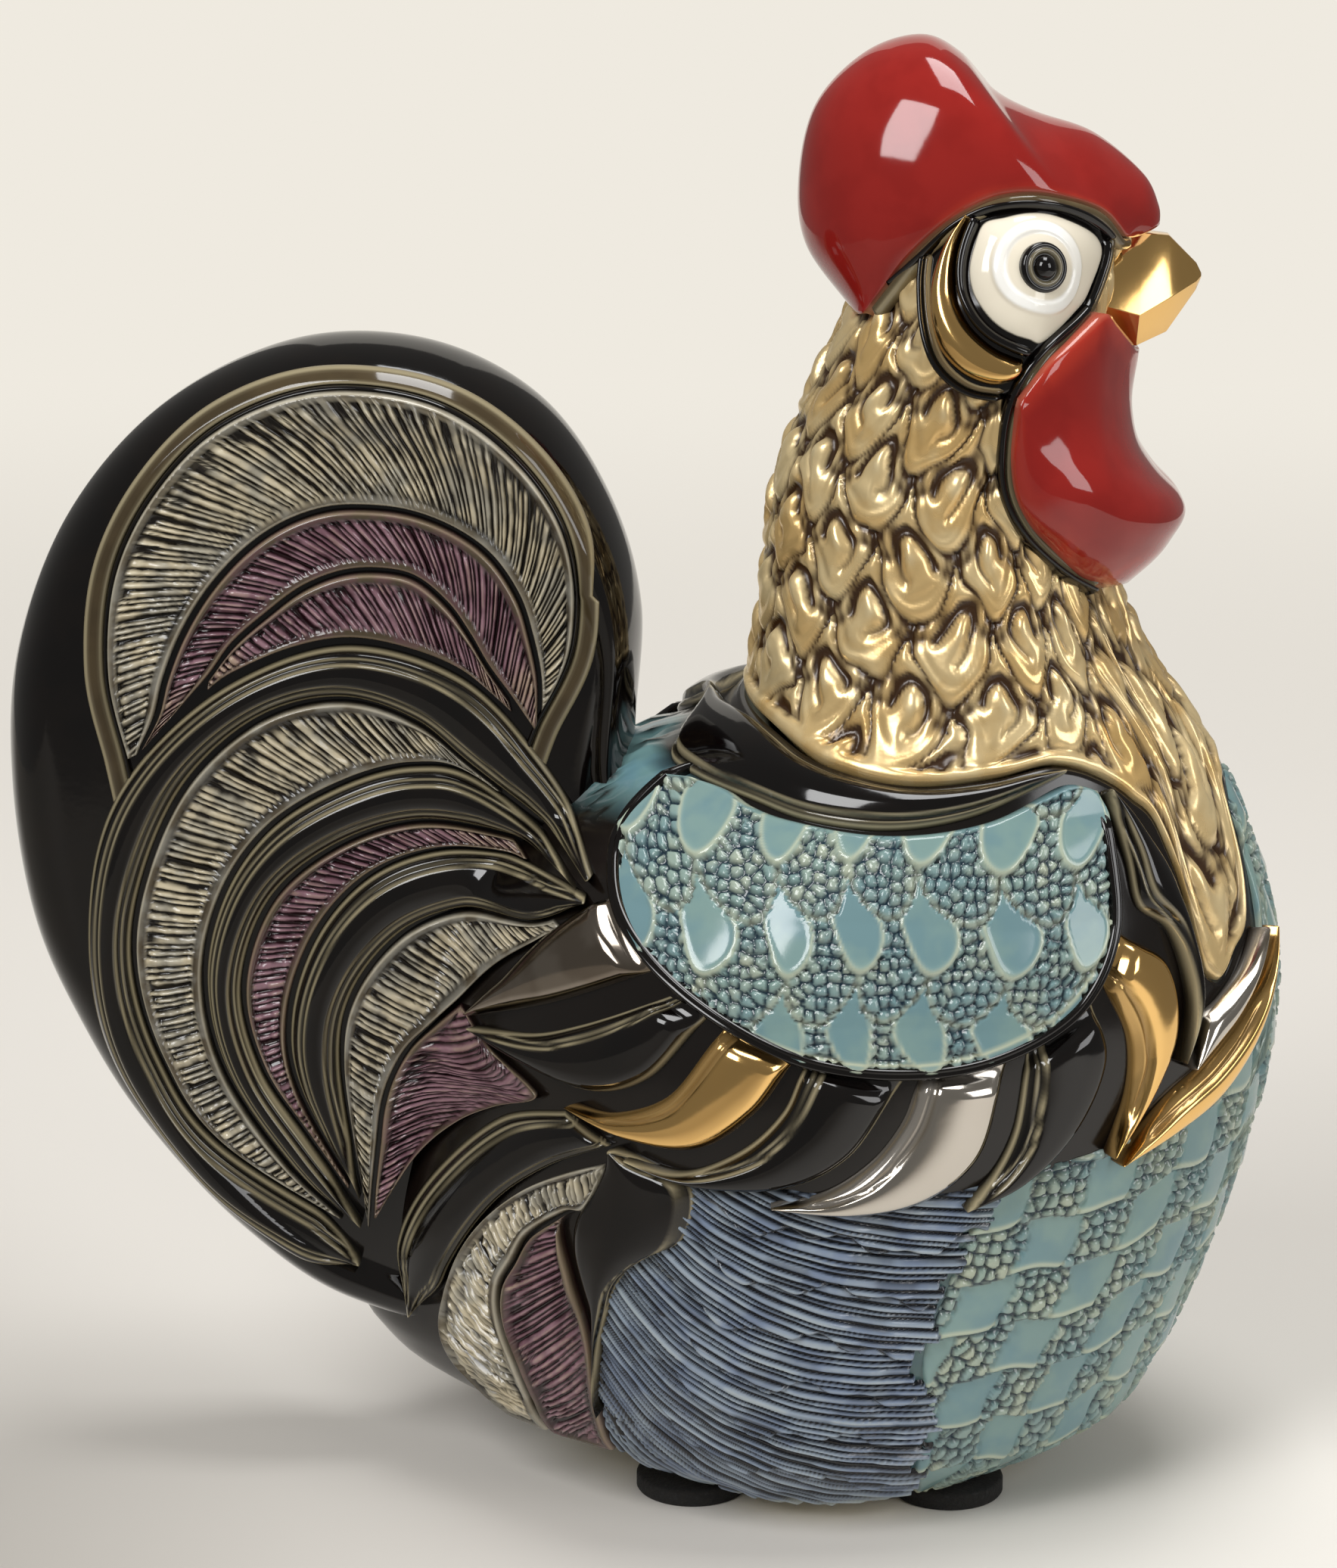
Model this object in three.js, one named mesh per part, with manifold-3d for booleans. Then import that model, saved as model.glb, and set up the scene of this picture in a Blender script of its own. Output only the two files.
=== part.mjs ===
// Glazed ceramic rooster figurine: a hollow body on a flat foot, a neck, a fan tail and the glazed feather
// pieces that lie on them. Millimetres, +X towards the beak, +Y the bird's left, +Z up.
import * as THREE from "three";
import { mergeVertices } from "three/addons/utils/BufferGeometryUtils.js";
import Module from "manifold-3d";

const wasm = await Module();
wasm.setup();
const smoothStep = THREE.MathUtils.smoothstep;
const lerp = THREE.MathUtils.lerp;

// Driving dimensions
const seatGap = 0.3; // clearance between pieces that touch
const capeGap = 0.4; // joint between the body and the neck, along the cape's edge
const groove = 1.0; // carved line between neighbouring feather pieces
const leastWidth = 0.9; // width of a feather piece at its tip
const bodyWall = 7; // thickness of the cast body
const footThickness = 13; // cast floor of the body
const ventRadius = 8; // hole under the foot
const neckWall = 5.5; // thickness of the cast neck and head
const neckFoot = 104; // the sections above this height stretch with the head's top
const headTop = 162; // edge of the crown
const scaleRise = 0.9; // lower lips of the neck's carved scales
const tileRise = 1; // lower lips of the breast's carved tiles
const padRadius = 7;
const padThickness = 2.2;
const padSpacingX = 32; // front pads to rear pads
const padSpacingY = 29; // left pads to right pads
const padCentreX = 22;
const tailHalfThickness = 10; // flat field of the fan, from its mid-plane
const tailWall = 4; // thickness of the cast fan
const tailEdgeRadius = 8; // rounding of the fan's rim
const rimRollHeight = 2.6; // how far the fan's rolled border stands above the field
const vaneThickness = 1.9; // combed feather fields
const sickleThickness = 3.2; // glossy curved tail feathers
const featherThickness = 2.8; // lustre and black feathers of the wing and the chest
const collarThickness = 2.6;
const covertThickness = 1.7;
const covertSeat = 0.5; // clearance under the covert, which spans the body's flat facets
const combEdge = 1.6; // thickness of the comb where it ends on the head
const wattleSeat = 0.8; // clearance behind the wattle, which spans the hollow of the throat
const wattleEdge = 1.6; // thickness of the wattle where it ends on the neck
const wattleSwell = 2.6; // what its padded sides add to that
const beakReach = 9; // tip of the beak, measured from the face
const beakRise = 6.8; // half of the beak's height at the face
const beakSpread = 6.4; // half of its width there
const eyeThickness = 0.9;
const pupilRadius = 3;
const pupilThickness = 1.5;
const cheekThickness = 1.8;

// Outlines. Heights are above the foot's underside; angles run round the body in degrees, 0 at the breast.
const neckAt = (share) => lerp(neckFoot, headTop, share);
const breastLine = lineThrough([
  [0, 46], [6, 59], [14, 65], [24, 69.5], [36, 73.5], [50, 77], [64, 78], [76, 75.5], [84, 72.5],
  [90, 69.8], [96, 66], [neckFoot, 60.5], [neckAt(0.103), 57.9], [neckAt(0.207), 56], [neckAt(0.345), 54.8],
  [neckAt(0.517), 54.5], [neckAt(0.655), 55.5], [neckAt(0.793), 57], [neckAt(0.897), 57.3], [headTop, 53],
]);
const backLine = lineThrough([
  [0, -2], [6, -24], [14, -35], [24, -37], [50, -32], [64, -30], [76, -26], [84, -16],
  [90, -3.5], [96, 9.5], [neckFoot, 13], [neckAt(0.172), 14], [neckAt(0.379), 16], [neckAt(0.586), 21],
  [neckAt(0.759), 26], [neckAt(0.897), 29.5], [headTop, 34],
]);
const widestLine = lineThrough([
  [0, 22], [14, 18], [50, 18], [64, 20], [76, 24], [90, 34], [96, 38], [neckAt(0.379), 39], [neckAt(0.586), 42],
  [headTop, 44],
]);
const halfWidthLine = lineThrough([
  [0, 24], [6, 31], [14, 35.5], [24, 38.5], [36, 40.3], [50, 41], [64, 40], [76, 37], [84, 33],
  [90, 28.5], [96, 25], [neckFoot, 23], [neckAt(0.172), 21], [neckAt(0.379), 20], [neckAt(0.759), 19.8],
  [neckAt(0.897), 17], [headTop, 12],
]);
// Sections of the face and the rump draw in to an edge: the heights of the change, and the roundness left.
const faceForm = { from: headTop - 38, to: headTop - 22, roundness: 0.35 };
const rumpForm = { from: 80, to: 96, roundness: 0.25 };
const crownRise = 1; // the middle of the crown above its edge
const crownCentre = 43.5;
const capeLine = lineThrough([
  [0, 90], [10, 88], [16, 84], [18, 78.5], [21, 73], [27, 69.3], [33, 67], [35.5, 70], [37.5, 78],
  [41, 85], [48, 89.7], [56, 92.5], [66, 94], [80, 93], [95, 92.3], [115, 93.5], [140, 96], [180, 98.5],
]);
const collarLine = lineThrough([
  [64, 92.7], [70, 91.3], [80, 88.8], [94, 87.3], [112, 88], [128, 89.7], [146, 90.5], [180, 93.5],
]);
// Upper edge of the tiled breast, below the feathers of the wing and the chest
const breastTop = lineThrough([
  [0, 86], [11, 82], [14, 73], [17, 66], [22, 59], [30, 51.5], [39, 48], [49, 46], [60, 44], [74, 42],
]);

// Outlines of the head, with heights measured up from the head's top
const hackleTop = lineThrough([
  [0, -52.5], [34, -50.5], [48, -48.5], [60, -44.5], [69, -41], [76, -36.5], [81, -31.5], [86, -26],
  [98, -25.3], [110, -23], [120, -19], [127, -14.8], [132, -14.8], [140, -18.5], [149, -22], [180, -22.5],
]);
const wattleFoot = lineThrough([
  [0, -51], [34, -49], [48, -47], [60, -43], [69, -39.5], [76, -35], [81, -30], [84, -25.5],
]);
const wattleTop = lineThrough([
  [0, -23.5], [30, -22.5], [43, -19.5], [54, -16], [66, -18.6], [76, -21], [84, -24.5],
]);
// Silhouette of the wattle's front, which narrows under the beak and swells at its lower lobe
const wattleFront = lineThrough([
  [-51.6, 58], [-49.3, 62.2], [-46.6, 64.4], [-43.9, 65.4], [-40.9, 64.5], [-37.6, 61.8], [-33.6, 59.4],
  [-29.3, 58.5], [-22.3, 59.3],
]);
const eyeOutline = [
  [107, -6.7], [96, -5.4], [81, -5.2], [66, -6.2], [54, -8], [49, -10], [54, -13.5], [66, -16.6],
  [80, -18.5], [94, -17.4], [103.5, -14], [107.5, -10],
];
const eyeCentre = [80, -11];
const pupilCentre = [80, -10.2];
const cheekInner = [[113, -5.8], [111.8, -11.5], [105.5, -16.2], [96, -19.1], [86.5, -20.2]];
const cheekOuter = [[118, -6.4], [125, -10.5], [120.5, -16], [110, -21.2], [98, -23.8], [86.5, -24]];
const combFoot = [[149, -17.5], [133, -10], [111, -4.6], [90, -3.2], [66, -4.4], [46, -6.4], [36, -6.9]];
const combRidge = [
  [24.5, -17.3], [19, -10], [18, -2], [20, 6.8], [25.8, 13.3], [32.3, 15.5], [37, 13.3],
  [41, 8.8], [46, 6], [53, 3.6], [59, -1.2], [61, -5.5],
];
const beakRiseAt = -14.9; // height of the beak's middle
const beakSeat = 0.8; // its middle in front of the face

// The fan seen from the side: x towards the beak and height. Its last four points are buried in the body.
const fanCentre = new THREE.Vector2(-36, 78);
const fanOutline = closedCurve([
  [-1.5, 88], [-0.8, 107.5], [-5, 122], [-13.5, 133.7], [-27, 140.3], [-43, 140.2], [-59, 132.3],
  [-71, 118.8], [-77.8, 101.8], [-79.2, 85], [-77, 68], [-71.8, 54.5], [-64, 41], [-52, 27.5],
  [-37, 17.5], [-16, 14], [1, 30], [7, 50], [3, 70],
]);
const rollWidth = lineThrough([
  [-40, 8], [30, 8], [70, 5.5], [100, 4.6], [130, 6.5], [165, 12], [200, 9],
]);
const rollFade = { start: 172, end: 205 }; // direction from the fan's centre where the border's roll dies out

// Feather lines of the fan, from the root round to the lower rim
const fanLines = {
  borderInner: [[-13.2, 94.6], [-8.6, 105], [-9, 118], [-15, 128], [-25, 134.8], [-38, 136.3],
    [-50, 132], [-58.5, 124], [-64, 113.5], [-65.4, 101], [-63.3, 90]],
  sickleAOuter: [[-5.5, 79.5], [-12.5, 91], [-22, 101], [-36, 105], [-50, 100.3], [-61.5, 90.5],
    [-67.5, 79], [-69, 63], [-66, 49], [-56.5, 35.3], [-46, 27.5], [-36, 22.4]],
  sickleAInner: [[-7, 78.5], [-20.8, 89.3], [-28, 95.3], [-37, 98], [-47, 95.3], [-56, 87],
    [-61.5, 75], [-63, 64], [-60, 52], [-53, 41], [-35.2, 29]],
  sickleBOuter: [[-7.5, 78], [-20, 88.3], [-28, 90], [-37, 87.5], [-46, 81.8], [-52, 73],
    [-54.4, 62], [-52, 50], [-44, 37.5], [-35.2, 29]],
  sickleBInner: [[-8, 78], [-17.5, 81.3], [-28, 82.7], [-38, 79.3], [-46, 72.3], [-49.6, 61.5],
    [-47.5, 51], [-42, 42], [-35.6, 32.5]],
  sickleCOuter: [[-6.5, 77.5], [-16, 79], [-25.5, 79.3], [-34, 75.8], [-40.5, 68.3], [-44, 58],
    [-43, 48], [-35.8, 34]],
  sickleCInner: [[-6.5, 76.5], [-13, 73], [-22, 71.9], [-30, 68.3], [-36, 60.5], [-37.5, 51], [-35.2, 35]],
  rumpEdge: [[-7.6, 75.8], [-15.2, 70.6], [-22.4, 62.6], [-19.8, 56.5], [-17.5, 52.8], [-21, 48.5],
    [-28, 41.5], [-34.4, 31]],
  sickleDOuter: [[-9, 52.3], [-17, 49], [-25.3, 40], [-30.5, 31], [-32.6, 21]],
  sickleDInner: [[-2.8, 49.6], [-10.5, 45], [-17.8, 38], [-23.7, 28], [-26.4, 18.5]],
};

// Pieces of one flank between two lines on the body, as [angle, height]; the second line lies lower or further
// forward. They are listed from the tail to the breast.
const flankPieces = [
  ["rump_vane", "combedCream", vaneThickness,
    [[115, 47.6], [121, 45], [127.5, 41], [133.5, 35], [138, 27.5], [141, 19], [137, 8.5]],
    [[113.8, 47], [117.5, 41.5], [119.5, 38], [116.8, 32], [114, 25], [114, 16], [117, 8]], { across: 4 }],
  ["thigh_feather", "blackGlaze", featherThickness,
    [[112.5, 45.6], [115.2, 41], [116, 36.5], [113.8, 31], [111.6, 27.5]],
    [[105, 45.6], [101.5, 43.5], [103, 38.5], [109, 35], [111, 27]]],
  ["wing_silver_1", "silverLustre", featherThickness,
    [[142, 60.4], [134, 69.4], [126.5, 76.4]],
    [[141, 59.8], [128, 64], [115.5, 69.5]]],
  ["wing_black_2", "blackGlaze", featherThickness,
    [[141, 59], [130, 60.5], [122, 63.2], [113.5, 67]],
    [[140, 58.3], [129, 56], [118, 55.3], [110, 58.5], [105, 65]]],
  ["wing_gold_3", "goldLustre", featherThickness,
    [[121, 53.8], [115, 53.8], [107.5, 57.2], [103, 64]],
    [[120.5, 53], [111, 50.6], [102, 51], [95, 56], [91.5, 61.5]]],
  ["wing_black_4", "blackGlaze", featherThickness,
    [[111.5, 49.3], [104, 48.5], [96.5, 52], [92, 56.5], [90.5, 60.8]],
    [[111, 48.3], [101, 46.6], [90, 46.9], [83, 50.8], [79, 58]]],
  ["wing_silver_5", "silverLustre", featherThickness,
    [[92, 45.8], [86, 46.8], [81, 50.4], [78, 55], [77, 59]],
    [[91.5, 45], [81, 43.6], [73, 45.3], [67.5, 50.5], [66, 59.6]]],
  ["wing_black_6", "blackGlaze", featherThickness,
    [[69.5, 44.8], [66.4, 48], [64.4, 53], [64, 60]],
    [[69, 44], [61, 46.7], [55, 53], [52.3, 61], [54.5, 66.6]]],
  ["wing_gold_7", "goldLustre", featherThickness,
    [[51, 49], [49.2, 56], [49.8, 62.5], [53, 68]],
    [[50.4, 48.4], [45, 55.5], [41.3, 63], [43, 71], [49.5, 74.6]]],
  ["wing_black_8", "blackGlaze", featherThickness,
    [[41.5, 59], [39.8, 66], [42.5, 74], [48, 77.5], [50.3, 83], [55.5, 90]],
    [[40.9, 58.5], [37.4, 66], [38, 73], [41, 81.5], [48, 87.4], [55, 90.9]]],
  ["chest_silver", "silverLustre", featherThickness,
    [[39.6, 58], [37, 63], [32.5, 65], [26, 67.8], [20.5, 71.3]],
    [[39, 57.4], [33, 59.6], [27, 63.5], [22, 68], [19.6, 70.8]]],
  ["chest_gold", "goldLustre", featherThickness,
    [[49.5, 48], [42, 54.4], [35, 57.6], [27, 61.8], [20.5, 66.4], [16.8, 71]],
    [[49, 47.2], [39, 49.3], [30, 53], [22, 60.2], [16.2, 70]]],
];
const covertOutline = [
  [141, 88.8], [127, 88.4], [110, 86.7], [93, 86], [78, 87.4], [65, 91.2], [58, 90.6], [52.4, 83], [52, 75.5],
  [57, 67], [68, 61.8], [80, 60.8], [92, 62.8], [106, 68], [119, 74.6], [129, 81],
];
const covertCentre = [92, 76];
// Sections of the beak: share of its reach, then the heights of its ridge, its side crease and its chin as shares
// of its rise, and its share of the spread at the crease.
const beakSections = [
  [-0.8, 1, 0, -1, 1.2],
  [0.15, 1, -0.36, -1, 1],
  [0.55, 0.94, -0.1, -0.76, 0.68],
  [0.93, 0.44, 0.14, -0.04, 0.2],
  [1, 0.26, 0.22, 0.18, 0.06],
];

// Finishes
const finishes = {
  blueGlaze: { color: 0x6f9fae, roughness: 0.28, metalness: 0 },
  antiqueGold: { color: 0xb98a3c, roughness: 0.35, metalness: 0.85 },
  goldLustre: { color: 0xd9a441, roughness: 0.12, metalness: 1 },
  silverLustre: { color: 0xb9b4a8, roughness: 0.12, metalness: 1 },
  blackGlaze: { color: 0x14100e, roughness: 0.1, metalness: 0 },
  combedCream: { color: 0xb3a184, roughness: 0.35, metalness: 0 },
  combedPurple: { color: 0x86606c, roughness: 0.3, metalness: 0 },
  redGlaze: { color: 0x9c1f22, roughness: 0.12, metalness: 0 },
  whiteGlaze: { color: 0xecebe3, roughness: 0.15, metalness: 0 },
  blackFelt: { color: 0x1b1a19, roughness: 1, metalness: 0 },
};

// Geometry helpers

// A smooth function through [position, value] points, with each slope the weighted mean of its two neighbours'.
function lineThrough(points) {
  const at = points.map(([t]) => t);
  const value = points.map(([, v]) => v);
  const step = at.slice(1).map((t, i) => t - at[i]);
  const rise = step.map((s, i) => (value[i + 1] - value[i]) / s);
  const slope = value.map((_, i) => {
    if (i === 0) return rise[0];
    if (i === rise.length) return rise[i - 1];
    return (rise[i - 1] * step[i] + rise[i] * step[i - 1]) / (step[i - 1] + step[i]);
  });
  return (t) => {
    if (t <= at[0]) return value[0] + (t - at[0]) * slope[0];
    const last = at.length - 1;
    if (t >= at[last]) return value[last] + (t - at[last]) * slope[last];
    const i = at.findIndex((a) => a > t) - 1;
    const p = (t - at[i]) / step[i];
    const q = 1 - p;
    return (1 + 2 * p) * q * q * value[i] + p * q * q * step[i] * slope[i]
      + p * p * (3 - 2 * p) * value[i + 1] - p * p * q * step[i] * slope[i + 1];
  };
}

// Points round a closed smooth curve through the given corners.
function closedCurve(corners, count = 240) {
  const through = corners.map(([a, b]) => new THREE.Vector3(a, b, 0));
  const curve = new THREE.CatmullRomCurve3(through, true, "catmullrom", 0.5);
  return curve.getSpacedPoints(count).map((p) => [p.x, p.y]);
}

function openCurve(corners) {
  return new THREE.SplineCurve(corners.map(([a, b]) => new THREE.Vector2(a, b)));
}

// A closed geometry from loose triangles: corners merged, slivers dropped, faces turned outwards.
function closedGeometry(corners) {
  const loose = new THREE.BufferGeometry();
  loose.setAttribute("position", new THREE.Float32BufferAttribute(corners.flatMap((p) => [p.x, p.y, p.z]), 3));
  const merged = mergeVertices(loose, 1e-4);
  const position = merged.getAttribute("position");
  const index = [];
  let volume = 0;
  const [a, b, c] = [new THREE.Vector3(), new THREE.Vector3(), new THREE.Vector3()];
  for (let i = 0; i < merged.index.count; i += 3) {
    const [j, k, l] = [0, 1, 2].map((n) => merged.index.getX(i + n));
    if (j === k || k === l || l === j) continue;
    index.push(j, k, l);
    a.fromBufferAttribute(position, j);
    b.fromBufferAttribute(position, k);
    c.fromBufferAttribute(position, l);
    volume += a.dot(b.cross(c));
  }
  merged.setIndex(volume < 0 ? index.reverse() : index);
  return merged;
}

function pushQuad(list, a, b, c, d) {
  list.push(a, b, c, a, c, d);
}

// A closed solid between two grids of points with equal rows and columns. With ring set, the last row meets the
// first. The first and last columns are closed by walls, which vanish where a column is a single point.
function slab(outer, inner, ring = false) {
  const corners = [];
  const rows = outer.length;
  const columns = outer[0].length;
  for (let i = 0; i < rows - (ring ? 0 : 1); i++) {
    const n = (i + 1) % rows;
    for (let j = 0; j < columns - 1; j++) {
      pushQuad(corners, outer[i][j], outer[n][j], outer[n][j + 1], outer[i][j + 1]);
      pushQuad(corners, inner[i][j], inner[i][j + 1], inner[n][j + 1], inner[n][j]);
    }
    pushQuad(corners, outer[i][0], inner[i][0], inner[n][0], outer[n][0]);
    pushQuad(corners, outer[i][columns - 1], outer[n][columns - 1], inner[n][columns - 1], inner[i][columns - 1]);
  }
  if (!ring) {
    const end = rows - 1;
    for (let j = 0; j < columns - 1; j++) {
      pushQuad(corners, outer[0][j], outer[0][j + 1], inner[0][j + 1], inner[0][j]);
      pushQuad(corners, outer[end][j], inner[end][j], inner[end][j + 1], outer[end][j + 1]);
    }
  }
  return closedGeometry(corners);
}

// A solid whose closed cross-sections stand round an axis, the last one meeting the first.
function ringOfLoops(loops) {
  const corners = [];
  loops.forEach((loop, i) => {
    const next = loops[(i + 1) % loops.length];
    loop.forEach((point, j) => {
      const k = (j + 1) % loop.length;
      pushQuad(corners, point, next[j], next[k], loop[k]);
    });
  });
  return closedGeometry(corners);
}

function solidFrom(geometry) {
  return new wasm.Manifold(new wasm.Mesh({
    numProp: 3,
    vertProperties: new Float32Array(geometry.getAttribute("position").array),
    triVerts: new Uint32Array(geometry.index.array),
  }));
}

function geometryFrom(solid) {
  const { vertProperties, triVerts } = solid.getMesh();
  const geometry = new THREE.BufferGeometry();
  geometry.setAttribute("position", new THREE.BufferAttribute(new Float32Array(vertProperties), 3));
  geometry.setIndex(new THREE.BufferAttribute(new Uint32Array(triVerts), 1));
  return geometry;
}

// Body surface

// Half width of a section at a share of its reach, 0 in the middle and 1 at its end. A round section is an
// ellipse, and the others draw in to an edge, as the rump and the face do.
function sectionShare(reach, roundness) {
  const along = Math.min(Math.abs(reach), 1);
  const pointed = Math.cos((along * Math.PI) / 2);
  return lerp(pointed, Math.sqrt(1 - along * along), roundness);
}

function frontRoundness(height) {
  return lerp(1, faceForm.roundness, smoothStep(height, faceForm.from, faceForm.to));
}

function rearRoundness(height) {
  return lerp(rumpForm.roundness, 1, smoothStep(height, rumpForm.from, rumpForm.to));
}

function skinPoint(angle, height) {
  const turn = THREE.MathUtils.degToRad(angle);
  const reach = Math.cos(turn);
  const widest = widestLine(height);
  const end = reach > 0 ? breastLine(height) : backLine(height);
  const roundness = reach > 0 ? frontRoundness(height) : rearRoundness(height);
  const y = -Math.sign(Math.sin(turn)) * halfWidthLine(height) * sectionShare(reach, roundness);
  return new THREE.Vector3(widest + Math.abs(reach) * (end - widest), y, height);
}

// A point on the body or, with a lift, that far above it. Positive angles lie on the bird's right.
function onBody(angle, height, lift = 0) {
  const point = skinPoint(angle, height);
  if (lift === 0) return point;
  const round = skinPoint(angle + 0.5, height).sub(skinPoint(angle - 0.5, height));
  const up = skinPoint(angle, height + 0.2).sub(skinPoint(angle, height - 0.2));
  const outwards = up.cross(round).normalize();
  return point.addScaledVector(outwards, lift);
}

// Half width of the body where the fan lies on it.
function bodyHalfAt(x, height) {
  const widest = widestLine(height);
  const reach = (widest - x) / (widest - backLine(height));
  if (reach >= 1) return 0;
  return halfWidthLine(height) * sectionShare(Math.max(reach, 0), rearRoundness(height));
}

// Angles of the carved lattice: a scale or a tile is two steps wide, and each second row is moved by one step.
const latticeAngles = [0, 8, 16, 24, 32, 40, 48, 56, 64, 72, 84, 96, 108, 120, 132, 144, 156, 168, 180];
const capeAngles = [12, 20, 34.5, 37]; // between them, where the cape's edge runs down to its points
const rightAngles = [...latticeAngles.slice(1, -1), ...capeAngles].sort((a, b) => a - b);
const leftAngles = rightAngles.map((angle) => -angle).reverse();
const roundAngles = [0, ...rightAngles, 180, ...leftAngles];

// Height of the cape's edge, moved up or down so that the joint stays as wide where the edge runs steeply.
function capeEdge(angle, shift) {
  const around = Math.abs(angle);
  const arcPerDegree = 0.8;
  const slope = (capeLine(around + 0.5) - capeLine(around - 0.5)) / arcPerDegree;
  return capeLine(around) + shift * Math.hypot(1, slope);
}

// Carved rows: how many lips there are, counted in rows up to the rim or the head's top, how high the lips
// stand, and the share of that which is left between two scales.
const tiles = { lips: 11, rows: 12, rise: tileRise, between: 0.4 };
const scales = { lips: 6, rows: 8, rise: scaleRise, between: 0.15 };
const lipHalf = 0.1; // half of a lip's steep step, in rows
const tilePitch = 7.1;
const tileClimb = 0.5; // what the pitch gains at the breast and loses on the flank
const evenTiles = 8; // rows that keep the pitch; the ones above share what is left below the cape
const lipRows = ({ lips }) => Array.from({ length: lips }, (_, i) => [i + 1 - lipHalf, i + 1 + lipHalf]).flat();
const tileRows = [0, 0.35, ...lipRows(tiles), tiles.rows];
const scaleRows = [0, 0.5, ...lipRows(scales), 7, 7.6, scales.rows];

// Height of a row of tiles on the body. The rows climb towards the breast.
function tileHeight(angle, row) {
  const climb = tileClimb * (1 - 2 * smoothStep(Math.abs(angle), 0, 80));
  const even = (tilePitch + climb) * Math.min(row, evenTiles);
  const rim = capeEdge(angle, -capeGap / 2);
  return lerp(even, rim, Math.max(row - evenTiles, 0) / (tiles.rows - evenTiles));
}

// Heights of the vertex rows at an angle: in pairs at the lips of the breast, and over the rump closer together
// towards the shoulder. Seats are cut with the same rows, so they run parallel to what they sit on.
function bodyRows(angle) {
  const rim = capeEdge(angle, -capeGap / 2);
  const behind = smoothStep(Math.abs(angle), 76, 96);
  const footRows = 3; // the rows of the foot's curve stay
  const foot = tileHeight(angle, tileRows[footRows]);
  return tileRows.map((row, i) => {
    const spread = Math.max(i - footRows, 0) / (tileRows.length - 1 - footRows);
    const height = tileHeight(angle, row);
    return i > footRows ? lerp(height, lerp(foot, rim, spread ** 0.7), behind) : height;
  });
}

function neckRows(angle) {
  const rim = capeEdge(angle, capeGap / 2);
  return scaleRows.map((row) => lerp(rim, headTop, row / scales.rows));
}

// Height of the carving at a row: it stands up at the lower lip, most at the middle of a scale, and sinks to the
// lip of the row above.
function carved(angle, row, { lips, rise, between }) {
  const index = Math.floor(row);
  if (index < 1 || index > lips) return 0;
  const around = Math.abs(angle);
  const next = Math.max(latticeAngles.findIndex((a) => a >= around), 1);
  const start = latticeAngles[next - 1];
  const lattice = next - 1 + (around - start) / (latticeAngles[next] - start);
  const middle = Math.abs(((lattice + index) % 2) - 1);
  return rise * (1 - (row - index)) * lerp(between, 1, middle);
}

function breastRelief(angle, height, row) {
  const around = Math.abs(angle);
  const within = smoothStep(breastTop(around) - height, 0, 2.5) * (1 - smoothStep(around, 72, 84));
  return within * carved(angle, row, tiles);
}

function hackleRelief(angle, height, row) {
  const within = smoothStep(headTop + hackleTop(Math.abs(angle)) - height, 0.5, 2.5);
  return within * carved(angle, row, scales);
}

function bodyShell() {
  const loops = roundAngles.map((angle) => {
    const rim = capeEdge(angle, -capeGap / 2);
    const inside = [1, 0.6];
    const floorPoint = onBody(angle, footThickness, -bodyWall);
    floorPoint.z = footThickness;
    const turn = THREE.MathUtils.degToRad(-angle);
    const ventEdge = (z) => new THREE.Vector3(
      padCentreX + ventRadius * Math.cos(turn), ventRadius * Math.sin(turn), z);
    return [
      ...bodyRows(angle).map((height, i) => onBody(angle, height, breastRelief(angle, height, tileRows[i]))),
      ...inside.map((share) => onBody(angle, Math.max(rim * share, footThickness + bodyWall), -bodyWall)),
      floorPoint,
      ventEdge(footThickness),
      ventEdge(0),
    ];
  });
  return ringOfLoops(loops);
}

function neckHackle() {
  const loops = roundAngles.map((angle) => {
    const rim = capeEdge(angle, capeGap / 2);
    const inside = [0.9, 0.45, 0];
    const ceiling = headTop - neckWall;
    return [
      ...neckRows(angle).map((height, i) => onBody(angle, height, hackleRelief(angle, height, scaleRows[i]))),
      new THREE.Vector3(crownCentre, 0, headTop + crownRise),
      new THREE.Vector3(crownCentre, 0, ceiling),
      ...inside.map((share) => onBody(angle, lerp(rim, ceiling, share), -neckWall)),
    ];
  });
  return ringOfLoops(loops);
}

// Solid form of the body or of the neck, let out by a margin, which seats are cut with.
function coreSolid(rowsAt, margin) {
  const columns = roundAngles.map((angle) => rowsAt(angle).map((height) => onBody(angle, height, margin)));
  const [low, high] = [columns[0][0], columns[0].at(-1)];
  const loops = columns.map((column) => [
    new THREE.Vector3(crownCentre, 0, low.z),
    ...column,
    new THREE.Vector3(crownCentre, 0, high.z + crownRise + margin),
  ]);
  return solidFrom(ringOfLoops(loops));
}

// Fan tail

const fanReach = fanOutline.map(([x, z]) => {
  const ray = new THREE.Vector2(x, z).sub(fanCentre);
  return [THREE.MathUtils.radToDeg(ray.angle()), ray.length()];
}).sort((a, b) => a[0] - b[0]);

// Distance from the fan's centre to its outline in a direction, in degrees from +X.
function fanRadius(direction) {
  const turn = THREE.MathUtils.euclideanModulo(direction, 360);
  const i = fanReach.findIndex(([a]) => a > turn);
  const last = fanReach.length - 1;
  const [a0, r0] = i <= 0 ? [fanReach[last][0] - 360, fanReach[last][1]] : fanReach[i - 1];
  const [a1, r1] = i < 0 ? [fanReach[0][0] + 360, fanReach[0][1]] : fanReach[i];
  const position = i <= 0 && turn > a1 ? turn - 360 : turn;
  return lerp(r0, r1, (position - a0) / Math.max(a1 - a0, 1e-6));
}

// The same direction counted from straight down, -90 to 270.
function fromBelow(direction) {
  return THREE.MathUtils.euclideanModulo(direction + 90, 360) - 90;
}

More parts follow.
